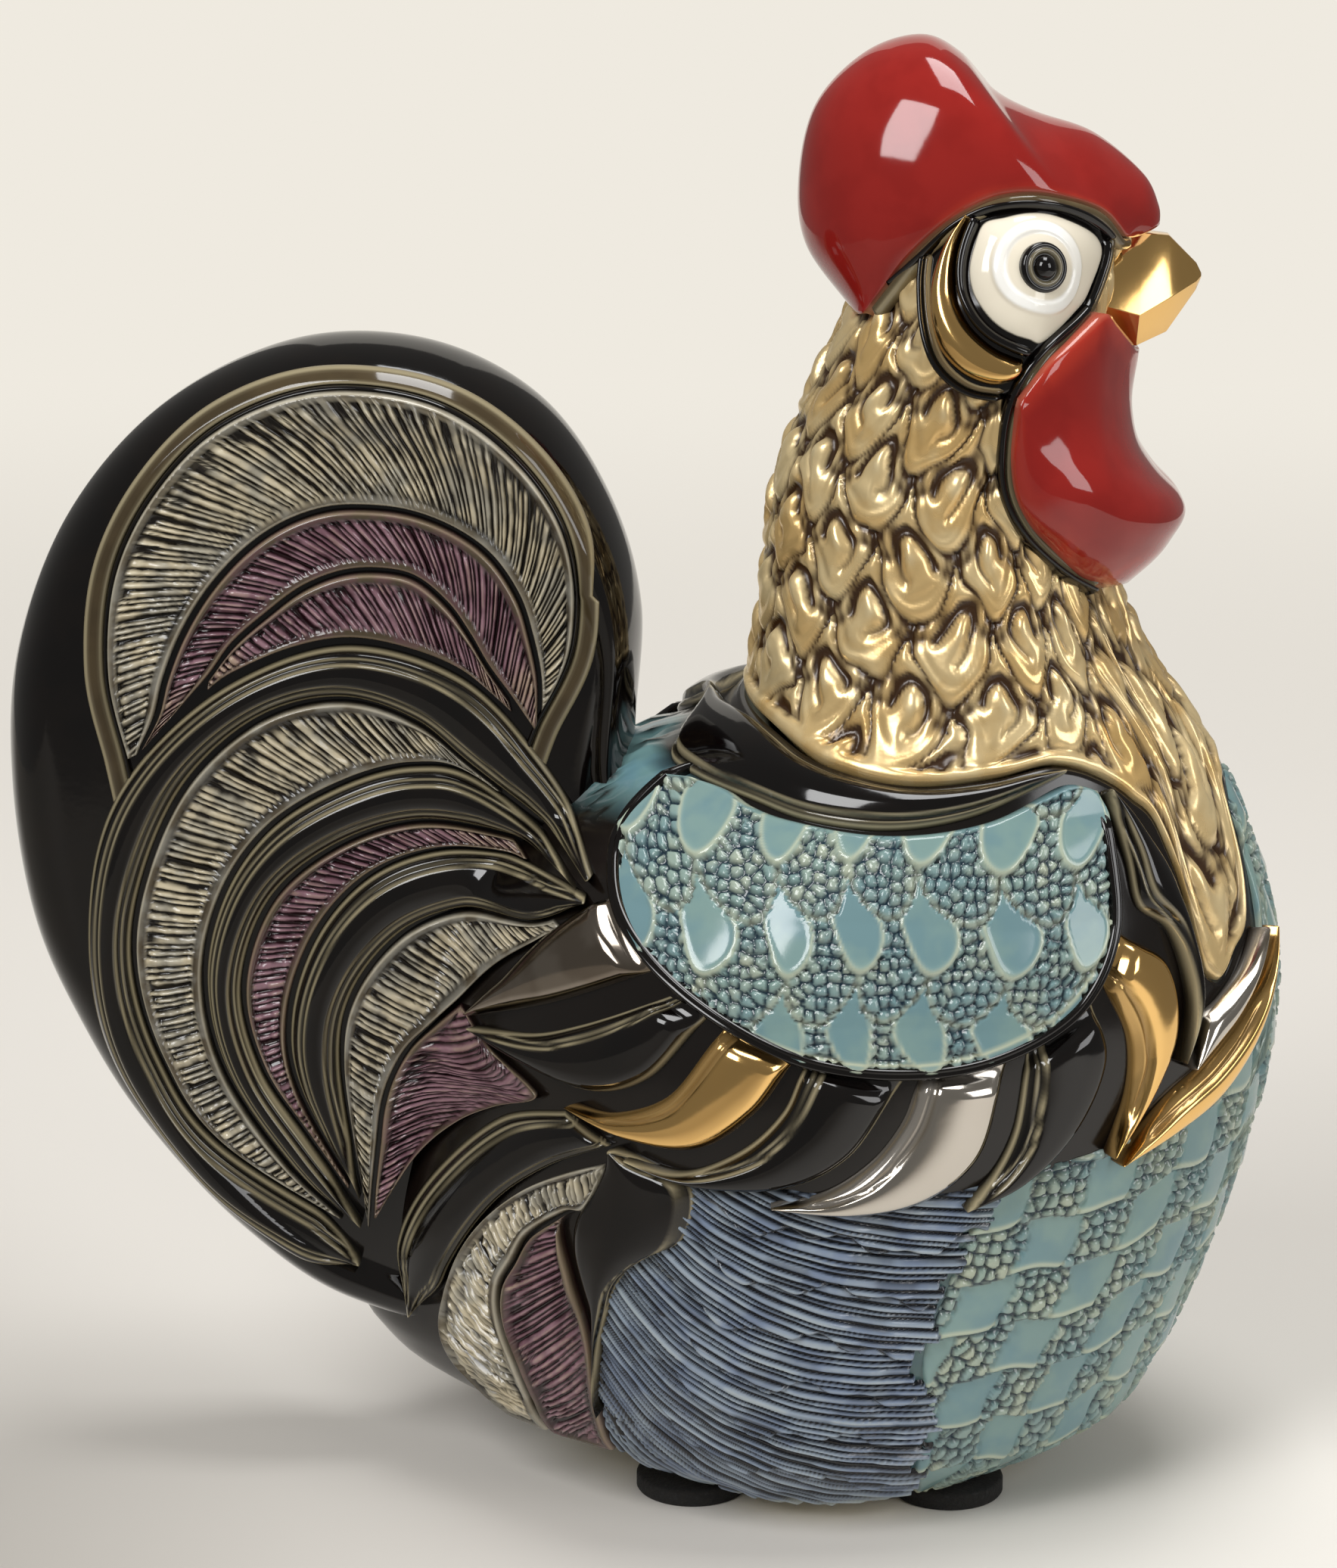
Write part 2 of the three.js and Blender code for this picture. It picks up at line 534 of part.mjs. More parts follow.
// Half thickness of the fan: a flat field, a rounded rim and a rolled border that dies out below the notch.
function fanHalf(direction, radius) {
  const inset = Math.max(fanRadius(direction) - radius, 0);
  const edge = Math.min(inset / tailEdgeRadius, 1);
  const rim = Math.sqrt(1 - (1 - edge) ** 2);
  const turn = fromBelow(direction);
  const fade = (1 - smoothStep(turn, rollFade.start, rollFade.end)) * smoothStep(turn, -40, 0);
  const across = Math.min(inset / Math.max(rollWidth(turn), 1), 1);
  return rim * tailHalfThickness + fade * rimRollHeight * Math.sin(Math.PI * across);
}

function fanHalfAt(x, height) {
  const ray = new THREE.Vector2(x, height).sub(fanCentre);
  return fanHalf(THREE.MathUtils.radToDeg(ray.angle()), ray.length());
}

// A point of the fan's side or of the body's flank, whichever stands further out, with a soft change between them.
function onFan(side, x, height, lift) {
  const fan = fanHalfAt(x, height);
  const flank = bodyHalfAt(x, height);
  const blend = 2;
  const base = (fan + flank + Math.hypot(fan - flank, blend)) / 2;
  return new THREE.Vector3(x, side * (base + lift), height);
}

function fanSolid(insetBy, thinnedBy, steps, insets) {
  const grids = [1, -1].map((side) => {
    const grid = [];
    for (let i = 0; i < steps; i++) {
      const direction = (360 * i) / steps;
      const turn = THREE.MathUtils.degToRad(direction);
      const reach = fanRadius(direction) - insetBy;
      grid.push(insets(rollWidth(fromBelow(direction))).map((inset) => {
        const radius = Math.max(reach - inset, 0);
        const half = Math.max(fanHalf(direction, radius) - thinnedBy, 0);
        return new THREE.Vector3(
          fanCentre.x + radius * Math.cos(turn), side * half, fanCentre.y + radius * Math.sin(turn));
      }));
    }
    return grid;
  });
  return solidFrom(slab(grids[0], grids[1], true));
}

function tailFan() {
  const whole = fanSolid(0, 0, 42, (w) => [Infinity, 30, 2 + 1.6 * w, w, 0.72 * w, 0.45 * w, 0.2 * w, 0.05 * w, 0]);
  const hollow = fanSolid(tailWall, tailWall, 24, () => [Infinity, tailEdgeRadius, 2, 0]);
  const body = coreSolid(bodyRows, seatGap);
  return geometryFrom(whole.subtract(hollow).subtract(body));
}

// Feather pieces

// A raised piece between two lines, on the surface that place(a, b, lift) gives. Its edges keep half a groove
// from the lines and its back lies along the middle.
function ribbon(first, second, place, thickness, { from = 0, to = 1, pitch = 5, across = 2 } = {}) {
  const [a, b] = [openCurve(first), openCurve(second)];
  const middle = [0, 1, 2, 3, 4].map((i) => {
    const [p, q] = [a.getPointAt(i / 4), b.getPointAt(i / 4)];
    return place((p.x + q.x) / 2, (p.y + q.y) / 2, 0);
  });
  const length = middle.slice(1).reduce((sum, p, i) => sum + p.distanceTo(middle[i]), 0) * (to - from);
  const steps = Math.max(5, Math.round(length / pitch));
  const outer = [];
  const inner = [];
  for (let i = 0; i <= steps; i++) {
    const along = lerp(from, to, i / steps);
    const p = a.getPointAt(along);
    const q = b.getPointAt(along);
    const width = Math.max(place(p.x, p.y, 0).distanceTo(place(q.x, q.y, 0)), 1e-3);
    const trim = Math.min(groove / 2, (width - leastWidth) / 2) / width;
    const endShare = lerp(0.6, 1, Math.min(i, steps - i, 2) / 2);
    const rowOut = [];
    const rowIn = [];
    for (let j = 0; j <= across; j++) {
      const share = lerp(trim, 1 - trim, j / across);
      const crown = lerp(0.55, 1, Math.sin((Math.PI * j) / across));
      const u = lerp(p.x, q.x, share);
      const v = lerp(p.y, q.y, share);
      rowOut.push(place(u, v, seatGap + thickness * crown * endShare));
      rowIn.push(place(u, v, seatGap));
    }
    outer.push(rowOut);
    inner.push(rowIn);
  }
  return slab(outer, inner);
}

// A raised piece inside a closed outline, on the surface that place(a, b, lift) gives.
function patch(outline, centre, place, base, thickness, count, shares = [0, 0.45, 0.8, 1]) {
  const corners = closedCurve(outline, count).slice(0, count);
  const rows = (lift) => corners.map(([a, b]) => shares.map((share) => {
    const crown = lerp(1, 0.5, share ** 4);
    return place(lerp(centre[0], a, share), lerp(centre[1], b, share), base + (lift ? thickness * crown : 0));
  }));
  return slab(rows(true), rows(false), true);
}

const onFlank = (side) => (angle, height, lift) => onBody(-side * angle, height, lift);
const onHead = (side) => (angle, rise, lift) => onBody(-side * angle, headTop + rise, lift);
const onTail = (side) => (x, height, lift) => onFan(side, x, height, lift);

// Name, finish, thickness, outer line, inner line and shape of each feather piece of the fan. A stretch is the
// part of the inner line that the piece runs along.
const fanPieces = [
  ["tail_vane_a", "combedCream", vaneThickness, "borderInner", "sickleAOuter",
    { across: 4, pitch: 7, stretch: [0.105, 0.445] }],
  ["tail_sickle_a", "blackGlaze", sickleThickness, "sickleAOuter", "sickleAInner",
    { from: 0.01, to: 0.99, pitch: 6 }],
  ["tail_vane_b", "combedCream", vaneThickness, "sickleAInner", "sickleBOuter",
    { from: 0.13, to: 0.95, across: 3, pitch: 6 }],
  ["tail_sickle_b", "blackGlaze", sickleThickness, "sickleBOuter", "sickleBInner",
    { from: 0.03, to: 0.98, pitch: 5.5 }],
  ["tail_vane_c", "combedPurple", vaneThickness, "sickleBInner", "sickleCOuter", { from: 0.12, to: 0.96 }],
  ["tail_sickle_c", "blackGlaze", sickleThickness, "sickleCOuter", "sickleCInner", { from: 0.02, to: 0.97 }],
  ["tail_vane_d", "combedCream", vaneThickness, "sickleCInner", "rumpEdge", { from: 0.06, to: 0.98, across: 3 }],
  ["tail_sickle_d", "blackGlaze", sickleThickness, "sickleDOuter", "sickleDInner", {}],
];

// Part of a line between two shares of its length.
function partOf(corners, [start, end]) {
  const curve = openCurve(corners);
  const count = 8;
  return Array.from({ length: count + 1 }, (_, i) => curve.getPointAt(lerp(start, end, i / count)).toArray());
}

// Head pieces

function comb() {
  const foot = openCurve(combFoot);
  const ridge = openCurve(combRidge);
  const steps = 14;
  const rise = [0, 0.28, 0.56, 0.82];
  const outer = [];
  const inner = [];
  for (let i = 0; i <= steps; i++) {
    const along = i / steps;
    const onSide = foot.getPointAt(along);
    const top = ridge.getPointAt(along);
    const edge = onBody(onSide.x, headTop + onSide.y, combEdge);
    const ridgeHeight = headTop + top.y;
    const half = rise.map((share) => new THREE.Vector3(
      lerp(edge.x, top.x, share), edge.y * Math.sqrt(1 - share * share), lerp(edge.z, ridgeHeight, share)));
    const across = [...half, new THREE.Vector3(top.x, 0, ridgeHeight)];
    const mirrored = half.map((p) => new THREE.Vector3(p.x, -p.y, p.z)).reverse();
    const row = [...across, ...mirrored];
    outer.push(row);
    const deep = new THREE.Vector3(lerp(edge.x, crownCentre, 0.3), 0, edge.z - 4);
    inner.push(row.map((p) => new THREE.Vector3(deep.x, p.y * 0.7, deep.z)));
  }
  return geometryFrom(solidFrom(slab(outer, inner)).subtract(coreSolid(neckRows, seatGap)));
}

function wattle() {
  const reach = 84;
  const steps = 16;
  const shares = [0, 0.1, 0.24, 0.4, 0.56, 0.78, 1];
  const [chin, throat] = [wattleFoot(0), wattleTop(0)];
  const outer = [];
  const inner = [];
  for (let i = 0; i <= steps; i++) {
    const angle = lerp(-reach, reach, i / steps);
    const around = Math.abs(angle);
    const full = Math.cos(THREE.MathUtils.degToRad(around)) ** 1.5;
    const swell = wattleSwell * (1 - 0.6 * smoothStep(around, 50, reach));
    const rowOut = [];
    const rowIn = [];
    for (const share of shares) {
      const height = headTop + lerp(wattleFoot(around), wattleTop(around), share);
      const front = lerp(chin, throat, share);
      const frontLift = wattleFront(front) - breastLine(headTop + front);
      const sideLift = wattleEdge + swell * Math.sqrt(Math.sin(Math.PI * share));
      rowOut.push(onBody(angle, height, wattleSeat + Math.max(lerp(sideLift, frontLift, full), leastWidth)));
      rowIn.push(onBody(angle, height, wattleSeat));
    }
    outer.push(rowOut);
    inner.push(rowIn);
  }
  return slab(outer, inner);
}

// A short bill with a ridge, a crease along each side and a flat chin, ending in a blunt tip.
function beak() {
  const flatShare = 0.28; // width of the ridge and of the chin, as a share of the width at the crease
  const middleZ = headTop + beakRiseAt;
  const middleX = breastLine(middleZ) + beakSeat;
  const rings = beakSections.map(([along, ridge, crease, chin, spread]) => {
    const half = beakSpread * spread;
    const corner = (share, width) => new THREE.Vector3(
      middleX + beakReach * along, width * half, middleZ + beakRise * share);
    return [
      corner(ridge, flatShare), corner(crease, 1), corner(chin, flatShare),
      corner(chin, -flatShare), corner(crease, -1), corner(ridge, -flatShare),
    ];
  });
  const middles = [rings[0], rings.at(-1)].map((ring) =>
    ring.reduce((sum, p) => sum.add(p), new THREE.Vector3()).divideScalar(ring.length));
  const loops = rings[0].map((_, i) => [middles[0], ...rings.map((ring) => ring[i]), middles[1]]);
  return geometryFrom(solidFrom(ringOfLoops(loops)).subtract(coreSolid(neckRows, seatGap)));
}

function circleOn(place, centre, radius, count) {
  const origin = place(...centre, 0);
  const perAngle = place(centre[0] + 1, centre[1], 0).distanceTo(origin);
  return Array.from({ length: count }, (_, i) => {
    const turn = (2 * Math.PI * i) / count;
    return [centre[0] + (radius * Math.cos(turn)) / perAngle, centre[1] + radius * Math.sin(turn)];
  });
}

// Assembly

const rooster = new THREE.Group();
const ceramic = new THREE.Group(); // everything but the pads, measured from the foot's underside
ceramic.position.z = padThickness + seatGap;
rooster.add(ceramic);

function addPiece(name, finish, geometry, parent = ceramic) {
  const mesh = new THREE.Mesh(geometry, new THREE.MeshStandardMaterial(finishes[finish]));
  mesh.name = name;
  parent.add(mesh);
  return mesh;
}

addPiece("body_shell", "blueGlaze", bodyShell());
addPiece("neck_hackle", "antiqueGold", neckHackle());
addPiece("tail_fan", "blackGlaze", tailFan());
addPiece("comb", "redGlaze", comb());
addPiece("wattle", "redGlaze", wattle());
addPiece("beak", "goldLustre", beak());

for (const [label, side] of [["right", -1], ["left", 1]]) {
  const flank = onFlank(side);
  const face = onHead(side);
  const tail = onTail(side);
  for (const [name, finish, thickness, first, second, shape = {}] of flankPieces) {
    addPiece(`${name}_${label}`, finish, ribbon(first, second, flank, thickness, shape));
  }
  for (const [name, finish, thickness, first, second, { stretch, ...shape }] of fanPieces) {
    const inner = stretch ? partOf(fanLines[second], stretch) : fanLines[second];
    addPiece(`${name}_${label}`, finish, ribbon(fanLines[first], inner, tail, thickness, shape));
  }
  const collarSteps = [65, 72, 82, 94, 108, 122, 138, 156, 178];
  const collarTop = collarSteps.map((angle) => [angle, capeLine(angle) - groove / 2]);
  const collarFoot = collarSteps.map((angle) => [angle, collarLine(angle)]);
  addPiece(`collar_${label}`, "blackGlaze", ribbon(collarTop, collarFoot, flank, collarThickness));
  addPiece(`covert_${label}`, "blueGlaze",
    patch(covertOutline, covertCentre, flank, covertSeat, covertThickness, 22, [0, 0.3, 0.6, 0.85, 1]));
  addPiece(`eye_${label}`, "whiteGlaze", patch(eyeOutline, eyeCentre, face, seatGap, eyeThickness, 16, [0, 0.6, 1]));
  addPiece(`pupil_${label}`, "blackGlaze", patch(
    circleOn(face, pupilCentre, pupilRadius, 10), pupilCentre, face, eyeThickness + 2 * seatGap, pupilThickness, 10,
    [0, 0.6, 1]));
  addPiece(`cheek_${label}`, "goldLustre", ribbon(cheekInner, cheekOuter, face, cheekThickness, { pitch: 3 }));
}

[[-1, -1], [-1, 1], [1, -1], [1, 1]].forEach(([along, aside], i) => {
  const disc = new THREE.CylinderGeometry(padRadius, padRadius, padThickness, 18);
  disc.rotateX(Math.PI / 2);
  disc.deleteAttribute("normal");
  disc.deleteAttribute("uv");
  const pad = addPiece(`felt_pad_${i + 1}`, "blackFelt", mergeVertices(disc), rooster);
  pad.position.set(padCentreX + (along * padSpacingX) / 2, (aside * padSpacingY) / 2, padThickness / 2);
});

// The origin is the middle of the bounding box, at the bottom.
const bounds = new THREE.Box3().setFromObject(rooster);
rooster.position.x = -(bounds.min.x + bounds.max.x) / 2;

export default rooster;
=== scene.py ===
import math
import re

import bpy
import numpy as np
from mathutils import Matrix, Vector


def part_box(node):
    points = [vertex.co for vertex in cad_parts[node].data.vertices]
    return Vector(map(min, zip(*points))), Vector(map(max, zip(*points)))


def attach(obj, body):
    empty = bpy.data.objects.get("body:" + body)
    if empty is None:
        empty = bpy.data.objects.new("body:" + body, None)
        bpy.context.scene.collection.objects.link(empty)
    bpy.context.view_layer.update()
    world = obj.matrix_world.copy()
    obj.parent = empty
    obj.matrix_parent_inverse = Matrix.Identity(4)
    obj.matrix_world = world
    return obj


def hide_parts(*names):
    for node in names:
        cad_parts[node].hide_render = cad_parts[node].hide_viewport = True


# Glazed ceramic rooster: the carved relief and the glazes, laid on the form that the frame gives.
# Lengths are millimetres up to makeMesh, which turns them to metres.

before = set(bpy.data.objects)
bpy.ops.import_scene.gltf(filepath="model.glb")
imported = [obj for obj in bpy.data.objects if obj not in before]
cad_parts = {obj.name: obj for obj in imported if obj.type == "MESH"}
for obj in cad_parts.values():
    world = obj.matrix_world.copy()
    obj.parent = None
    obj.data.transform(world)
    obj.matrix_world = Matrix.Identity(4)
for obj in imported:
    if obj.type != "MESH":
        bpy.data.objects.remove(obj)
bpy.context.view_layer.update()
print("frame:", len(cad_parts), "nodes")


# Lines and curves

def lineThrough(*points):
    # Cubic pieces through (position, value) pairs. Each slope is the weighted mean of its two neighbours',
    # and both ends run on straight.
    at, value = np.array(points, float).T
    step = np.diff(at)
    rise = np.diff(value) / step
    inner = (rise[:-1] * step[1:] + rise[1:] * step[:-1]) / (step[:-1] + step[1:])
    slope = np.concatenate([rise[:1], inner, rise[-1:]])

    def line(t):
        t = np.asarray(t, float)
        i = np.clip(np.searchsorted(at, t, side="right") - 1, 0, len(step) - 1)
        p = np.clip((t - at[i]) / step[i], 0, 1)
        q = 1 - p
        through = ((1 + 2 * p) * q * q * value[i] + p * q * q * step[i] * slope[i]
                   + p * p * (3 - 2 * p) * value[i + 1] - p * p * q * step[i] * slope[i + 1])
        beyond = t - np.clip(t, at[0], at[-1])
        return through + beyond * np.where(t < at[0], slope[0], slope[-1])

    return line


def lengthAlong(points, axis=0):
    # Distance from the first point, summed step by step along the axis.
    step = np.linalg.norm(np.diff(points, axis=axis), axis=-1)
    return np.concatenate([np.zeros_like(step.take([0], axis)), np.cumsum(step, axis)], axis)


def curveThrough(corners, closed=False):
    # Catmull-Rom curve through the corners, as a function of the share of its length.
    c = np.array(corners, float)
    c = np.vstack([c[-1:], c, c[:2]]) if closed else np.vstack([c[:1], c, c[-1:]])
    t = np.linspace(0, 1, 40, endpoint=False)[None, :, None]
    a, b, d, e = c[:-3, None], c[1:-2, None], c[2:-1, None], c[3:, None]
    dense = 2 * b + (d - a) * t + (2 * a - 5 * b + 4 * d - e) * t ** 2 + (3 * b - a - 3 * d + e) * t ** 3
    dense = np.vstack([0.5 * dense.reshape(-1, 2), c[-2:-1]])
    length = lengthAlong(dense)

    def curve(share):
        at = np.asarray(share, float) * length[-1]
        return np.stack([np.interp(at, length, dense[:, k]) for k in (0, 1)], -1)

    return curve


def smoothStep(value, low, high):
    # 0 below low, 1 above high, and the cubic 3t2 - 2t3 between.
    t = np.clip((value - low) / (high - low), 0, 1)
    return t * t * (3 - 2 * t)


def mix(a, b, share):
    return a + (b - a) * share


# The form: the same lines and rules as the CAD's body, neck and fan

form = {
    "breast": lineThrough((0, 46), (6, 59), (14, 65), (24, 69.5), (36, 73.5), (50, 77), (64, 78), (76, 75.5),
                          (84, 72.5), (90, 69.8), (96, 66), (104, 60.5), (110, 57.9), (116, 56), (124, 54.8),
                          (134, 54.5), (142, 55.5), (150, 57), (156, 57.3), (162, 53)),
    "back": lineThrough((0, -2), (6, -24), (14, -35), (24, -37), (50, -32), (64, -30), (76, -26), (84, -16),
                        (90, -3.5), (96, 9.5), (104, 13), (114, 14), (126, 16), (138, 21), (148, 26),
                        (156, 29.5), (162, 34)),
    "widest": lineThrough((0, 22), (14, 18), (50, 18), (64, 20), (76, 24), (90, 34), (96, 38), (126, 39),
                          (138, 42), (162, 44)),
    "halfWidth": lineThrough((0, 24), (6, 31), (14, 35.5), (24, 38.5), (36, 40.3), (50, 41), (64, 40),
                             (76, 37), (84, 33), (90, 28.5), (96, 25), (104, 23), (114, 21), (126, 20),
                             (148, 19.8), (156, 17), (162, 12)),
    "cape": lineThrough((0, 90), (10, 88), (16, 84), (18, 78.5), (21, 73), (27, 69.3), (33, 67), (35.5, 70),
                        (37.5, 78), (41, 85), (48, 89.7), (56, 92.5), (66, 94), (80, 93), (95, 92.3),
                        (115, 93.5), (140, 96), (180, 98.5)),
    "collar": lineThrough((64, 92.7), (70, 91.3), (80, 88.8), (94, 87.3), (112, 88), (128, 89.7), (146, 90.5),
                          (180, 93.5)),
    "capeGap": 0.4,
    "headTop": 162,
    "crownRise": 1,
    "crownCentre": 43.5,
    "capeDegree": 0.8,         # mm round the skin in one degree: at the cape,
    "flankDegree": 0.7,        # on the flank
    "headDegree": 0.35,        # and on the head
    "footAbovePads": 2.5,      # from the table to the foot's underside
    "padX": (6, 38),           # centres of the rear and the front pads
    "padY": 14.5,
}
padLow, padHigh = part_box("felt_pad_1")
# The frame's origin lies under the middle of the box, the form's own a little behind.
shiftX = (padLow.x + padHigh.x) * 500 - form["padX"][0]


def bodySkin(angle, height):
    # A section at each height: x runs from the widest line to the breast or the back with the cosine of the
    # angle, y is the half width times an ellipse, mixed with a cosine where the section draws in to an edge.
    turn = np.radians(angle)
    reach = np.cos(turn)
    along = np.minimum(np.abs(reach), 1)
    widest = form["widest"](height)
    end = np.where(reach > 0, form["breast"](height), form["back"](height))
    roundness = np.where(reach > 0, mix(1, 0.35, smoothStep(height, 124, 140)),
                         mix(0.25, 1, smoothStep(height, 80, 96)))
    share = mix(np.cos(along * np.pi / 2), np.sqrt(1 - along ** 2), roundness)
    y = -np.sign(np.sin(turn)) * form["halfWidth"](height) * share
    return np.stack([widest + along * (end - widest), y, height + 0 * y], -1)


def onBody(angle, height, lift=0):
    # The skin, moved along its normal by the lift. The normal is up crossed with round, from small steps.
    angle, height = np.broadcast_arrays(np.asarray(angle, float), np.asarray(height, float))
    around = bodySkin(angle + 0.5, height) - bodySkin(angle - 0.5, height)
    up = bodySkin(angle, height + 0.2) - bodySkin(angle, height - 0.2)
    normal = np.cross(up, around)
    normal /= np.linalg.norm(normal, axis=-1, keepdims=True)
    return bodySkin(angle, height) + normal * np.asarray(lift)[..., None]


fan = {
    "centre": (-36, 78),
    "outline": [(-1.5, 88), (-0.8, 107.5), (-5, 122), (-13.5, 133.7), (-27, 140.3), (-43, 140.2),
                (-59, 132.3), (-71, 118.8), (-77.8, 101.8), (-79.1, 85), (-77, 68), (-71.8, 54.5),
                (-64, 41), (-52, 27.5), (-37, 17.5), (-16, 14), (1, 30), (7, 50), (3, 70)],
    "rollWidth": lineThrough((-40, 8), (30, 8), (70, 5.5), (100, 4.6), (130, 6.5), (165, 12), (200, 9)),
    "halfThickness": 10,
    "edgeRadius": 8,
    "rollHeight": 2.6,
}
fanRing = curveThrough(fan["outline"], closed=True)(np.linspace(0, 1, 720, endpoint=False)) - fan["centre"]
fanAngles = np.degrees(np.arctan2(fanRing[:, 1], fanRing[:, 0]))
fanReach = np.hypot(*fanRing.T)


def fanRadius(direction):
    return np.interp(direction, fanAngles, fanReach, period=360)


def fanHalf(direction, radius):
    # Half thickness: the flat field times a quarter-round rim, plus a rolled border of half a sine across.
    inset = np.maximum(fanRadius(direction) - radius, 0)
    rim = np.sqrt(1 - (1 - np.minimum(inset / fan["edgeRadius"], 1)) ** 2)
    turn = (direction + 90) % 360
    turn = np.where(turn > 270, turn - 360, turn)
    fade = (1 - smoothStep(turn, 172, 205)) * smoothStep(turn, -40, 0)
    across = np.minimum(inset / np.maximum(fan["rollWidth"](turn), 1), 1)
    return rim * fan["halfThickness"] + fade * fan["rollHeight"] * np.sin(np.pi * across)


def onFan(x, height, lift=0):
    # The right side of the fan or of the flank, whichever stands further out, with a soft change between.
    rayX, rayZ = x - fan["centre"][0], height - fan["centre"][1]
    half = fanHalf(np.degrees(np.arctan2(rayZ, rayX)), np.hypot(rayX, rayZ))
    widest, back = form["widest"](height), form["back"](height)
    along = np.clip((widest - x) / (widest - back), 0, 1)
    roundness = mix(0.25, 1, smoothStep(height, 80, 96))
    share = mix(np.cos(along * np.pi / 2), np.sqrt(1 - along ** 2), roundness)
    flank = form["halfWidth"](height) * share
    y = -((half + flank + np.hypot(half - flank, 2)) / 2 + lift)
    return np.stack([x + 0 * y, y, height + 0 * y], -1)


# Patterns

def scatter(i, j, salt=0):
    # A number from 0 to 1 for each cell, always the same: the fraction of a large multiple of a sine.
    return np.modf(np.abs(np.sin(i * 127.1 + j * 311.7 + salt * 74.7) * 43758.5453))[0]


def pebbles(x, y, pitch):
    # Cells round jittered grid points: how far a point lies inside its cell (the second nearest distance less
    # the nearest, in pitches) and a number for the cell.
    i, j = np.floor(x / pitch), np.floor(y / pitch)
    nearest = np.full(x.shape, 9.0)
    second = np.full(x.shape, 9.0)
    number = np.zeros(x.shape)
    for di in (-1, 0, 1):
        for dj in (-1, 0, 1):
            ci, cj = i + di, j + dj
            dx = x / pitch - ci - 0.5 - 0.7 * (scatter(ci, cj) - 0.5)
            dy = y / pitch - cj - 0.5 - 0.7 * (scatter(ci, cj, 1) - 0.5)
            d = np.hypot(dx, dy)
            nearer = d < nearest
            second = np.where(nearer, nearest, np.minimum(second, d))
            number = np.where(nearer, scatter(ci, cj, 2), number)
            nearest = np.minimum(nearest, d)
    return second - nearest, number


def roofScales(x, y, across, down, point=2.0):
    # Tongues in rows a pitch apart, each second row moved by half, upper rows lying over lower ones. A
    # tongue is half an oval below its centre, more pointed for a lower exponent, and straight above. Gives
    # the place in the tongue (0 in the middle, 1 at its rim), sideways and downward places, how far the
    # tongue above is, and the column and row.
    row = np.floor(y / down)

    def tongue(r):
        shift = 0.5 * np.mod(r, 2)
        column = np.round(x / across - shift)
        side = (x - (column + shift) * across) / (across * 0.52)
        fall = (r * down - y) / (down * 0.98)
        oval = (np.abs(side) ** point + np.maximum(fall, 0) ** point) ** (1 / point)
        return np.where(fall > 0, oval, np.abs(side)), side, fall, column

    above, upper, lower = tongue(row + 2), tongue(row + 1), tongue(row)
    onTop = upper[0] < 1
    rim, side, fall, column = [np.where(onTop, u, w) for u, w in zip(upper, lower)]
    return {"rim": rim, "side": side, "fall": fall, "above": np.where(onTop, above[0], upper[0]) - 1,
            "column": column, "row": row + onTop}


# The carved lattice that the body and the neck share with the CAD: a tile or a scale is two steps wide.
lattice = {
    "angles": [0, 8, 16, 24, 32, 40, 48, 56, 64, 72, 84, 96, 108, 120, 132, 144, 156, 168, 180],
    "scaleRows": 8, "tileRows": 12, "evenTiles": 8, "tilePitch": 7.1, "tileClimb": 0.5,
}


def latticeSteps(angle):
    return np.interp(np.abs(angle), lattice["angles"], np.arange(len(lattice["angles"])))


def capeEdge(angle, shift):
    # The cape's lower edge, moved so that the joint stays as wide where the edge runs steeply.
    slope = (form["cape"](np.abs(angle) + 0.5) - form["cape"](np.abs(angle) - 0.5)) / form["capeDegree"]
    return form["cape"](np.abs(angle)) + shift * np.hypot(1, slope)


def tileRow(angle, height):
    # Courses of tiles keep their pitch up to the eighth; the ones above share what is left below the cape.
    pitch = lattice["tilePitch"] + lattice["tileClimb"] * (1 - 2 * smoothStep(np.abs(angle), 0, 80))
    even = pitch * lattice["evenTiles"]
    rest = (height - even) / (capeEdge(angle, -form["capeGap"] / 2) - even)
    upper = lattice["evenTiles"] + (lattice["tileRows"] - lattice["evenTiles"]) * rest
    return np.where(height < even, height / pitch, upper)


def ripple(along, across, pitch, seed=0):
    # Combed ridges: a rounded wave across, whose pitch wanders a little and whose ridges differ in height.
    wander = 0.12 * np.sin(along * 0.3 + across * 0.2 + seed)
    wander = wander + 0.22 * np.sin(across * 1.9 + seed) + 0.1 * np.sin(across * 4.3)
    phase = across / pitch + wander
    ridge = 0.5 + 0.5 * np.cos(2 * np.pi * phase)
    return ridge ** 0.7 * (0.75 + 0.25 * scatter(np.round(phase), seed))


# Meshes

def makeMesh(name, points, faces, layers):
    # points: rows of x, y, z in mm. faces: arrays with equal corner counts. layers: attribute name -> values.
    mesh = bpy.data.meshes.new(name)
    place = (np.asarray(points) + [shiftX, 0, form["footAbovePads"]]) / 1000
    counts = np.concatenate([np.full(len(f), f.shape[1]) for f in faces])
    corners = np.concatenate([f.ravel() for f in faces])
    mesh.vertices.add(len(place))
    mesh.vertices.foreach_set("co", place.astype(np.float32).ravel())
    mesh.loops.add(len(corners))
    mesh.loops.foreach_set("vertex_index", corners.astype(np.int32))
    mesh.polygons.add(len(counts))
    mesh.polygons.foreach_set("loop_start", np.concatenate([[0], np.cumsum(counts)[:-1]]).astype(np.int32))
    mesh.polygons.foreach_set("use_smooth", np.ones(len(counts), bool))
    for layer, values in layers.items():
        attribute = mesh.attributes.new(layer, "FLOAT", "POINT")
        attribute.data.foreach_set("value", np.broadcast_to(values, len(place)).astype(np.float32).ravel())
    mesh.update(calc_edges=True)
    mesh.validate()
    return mesh


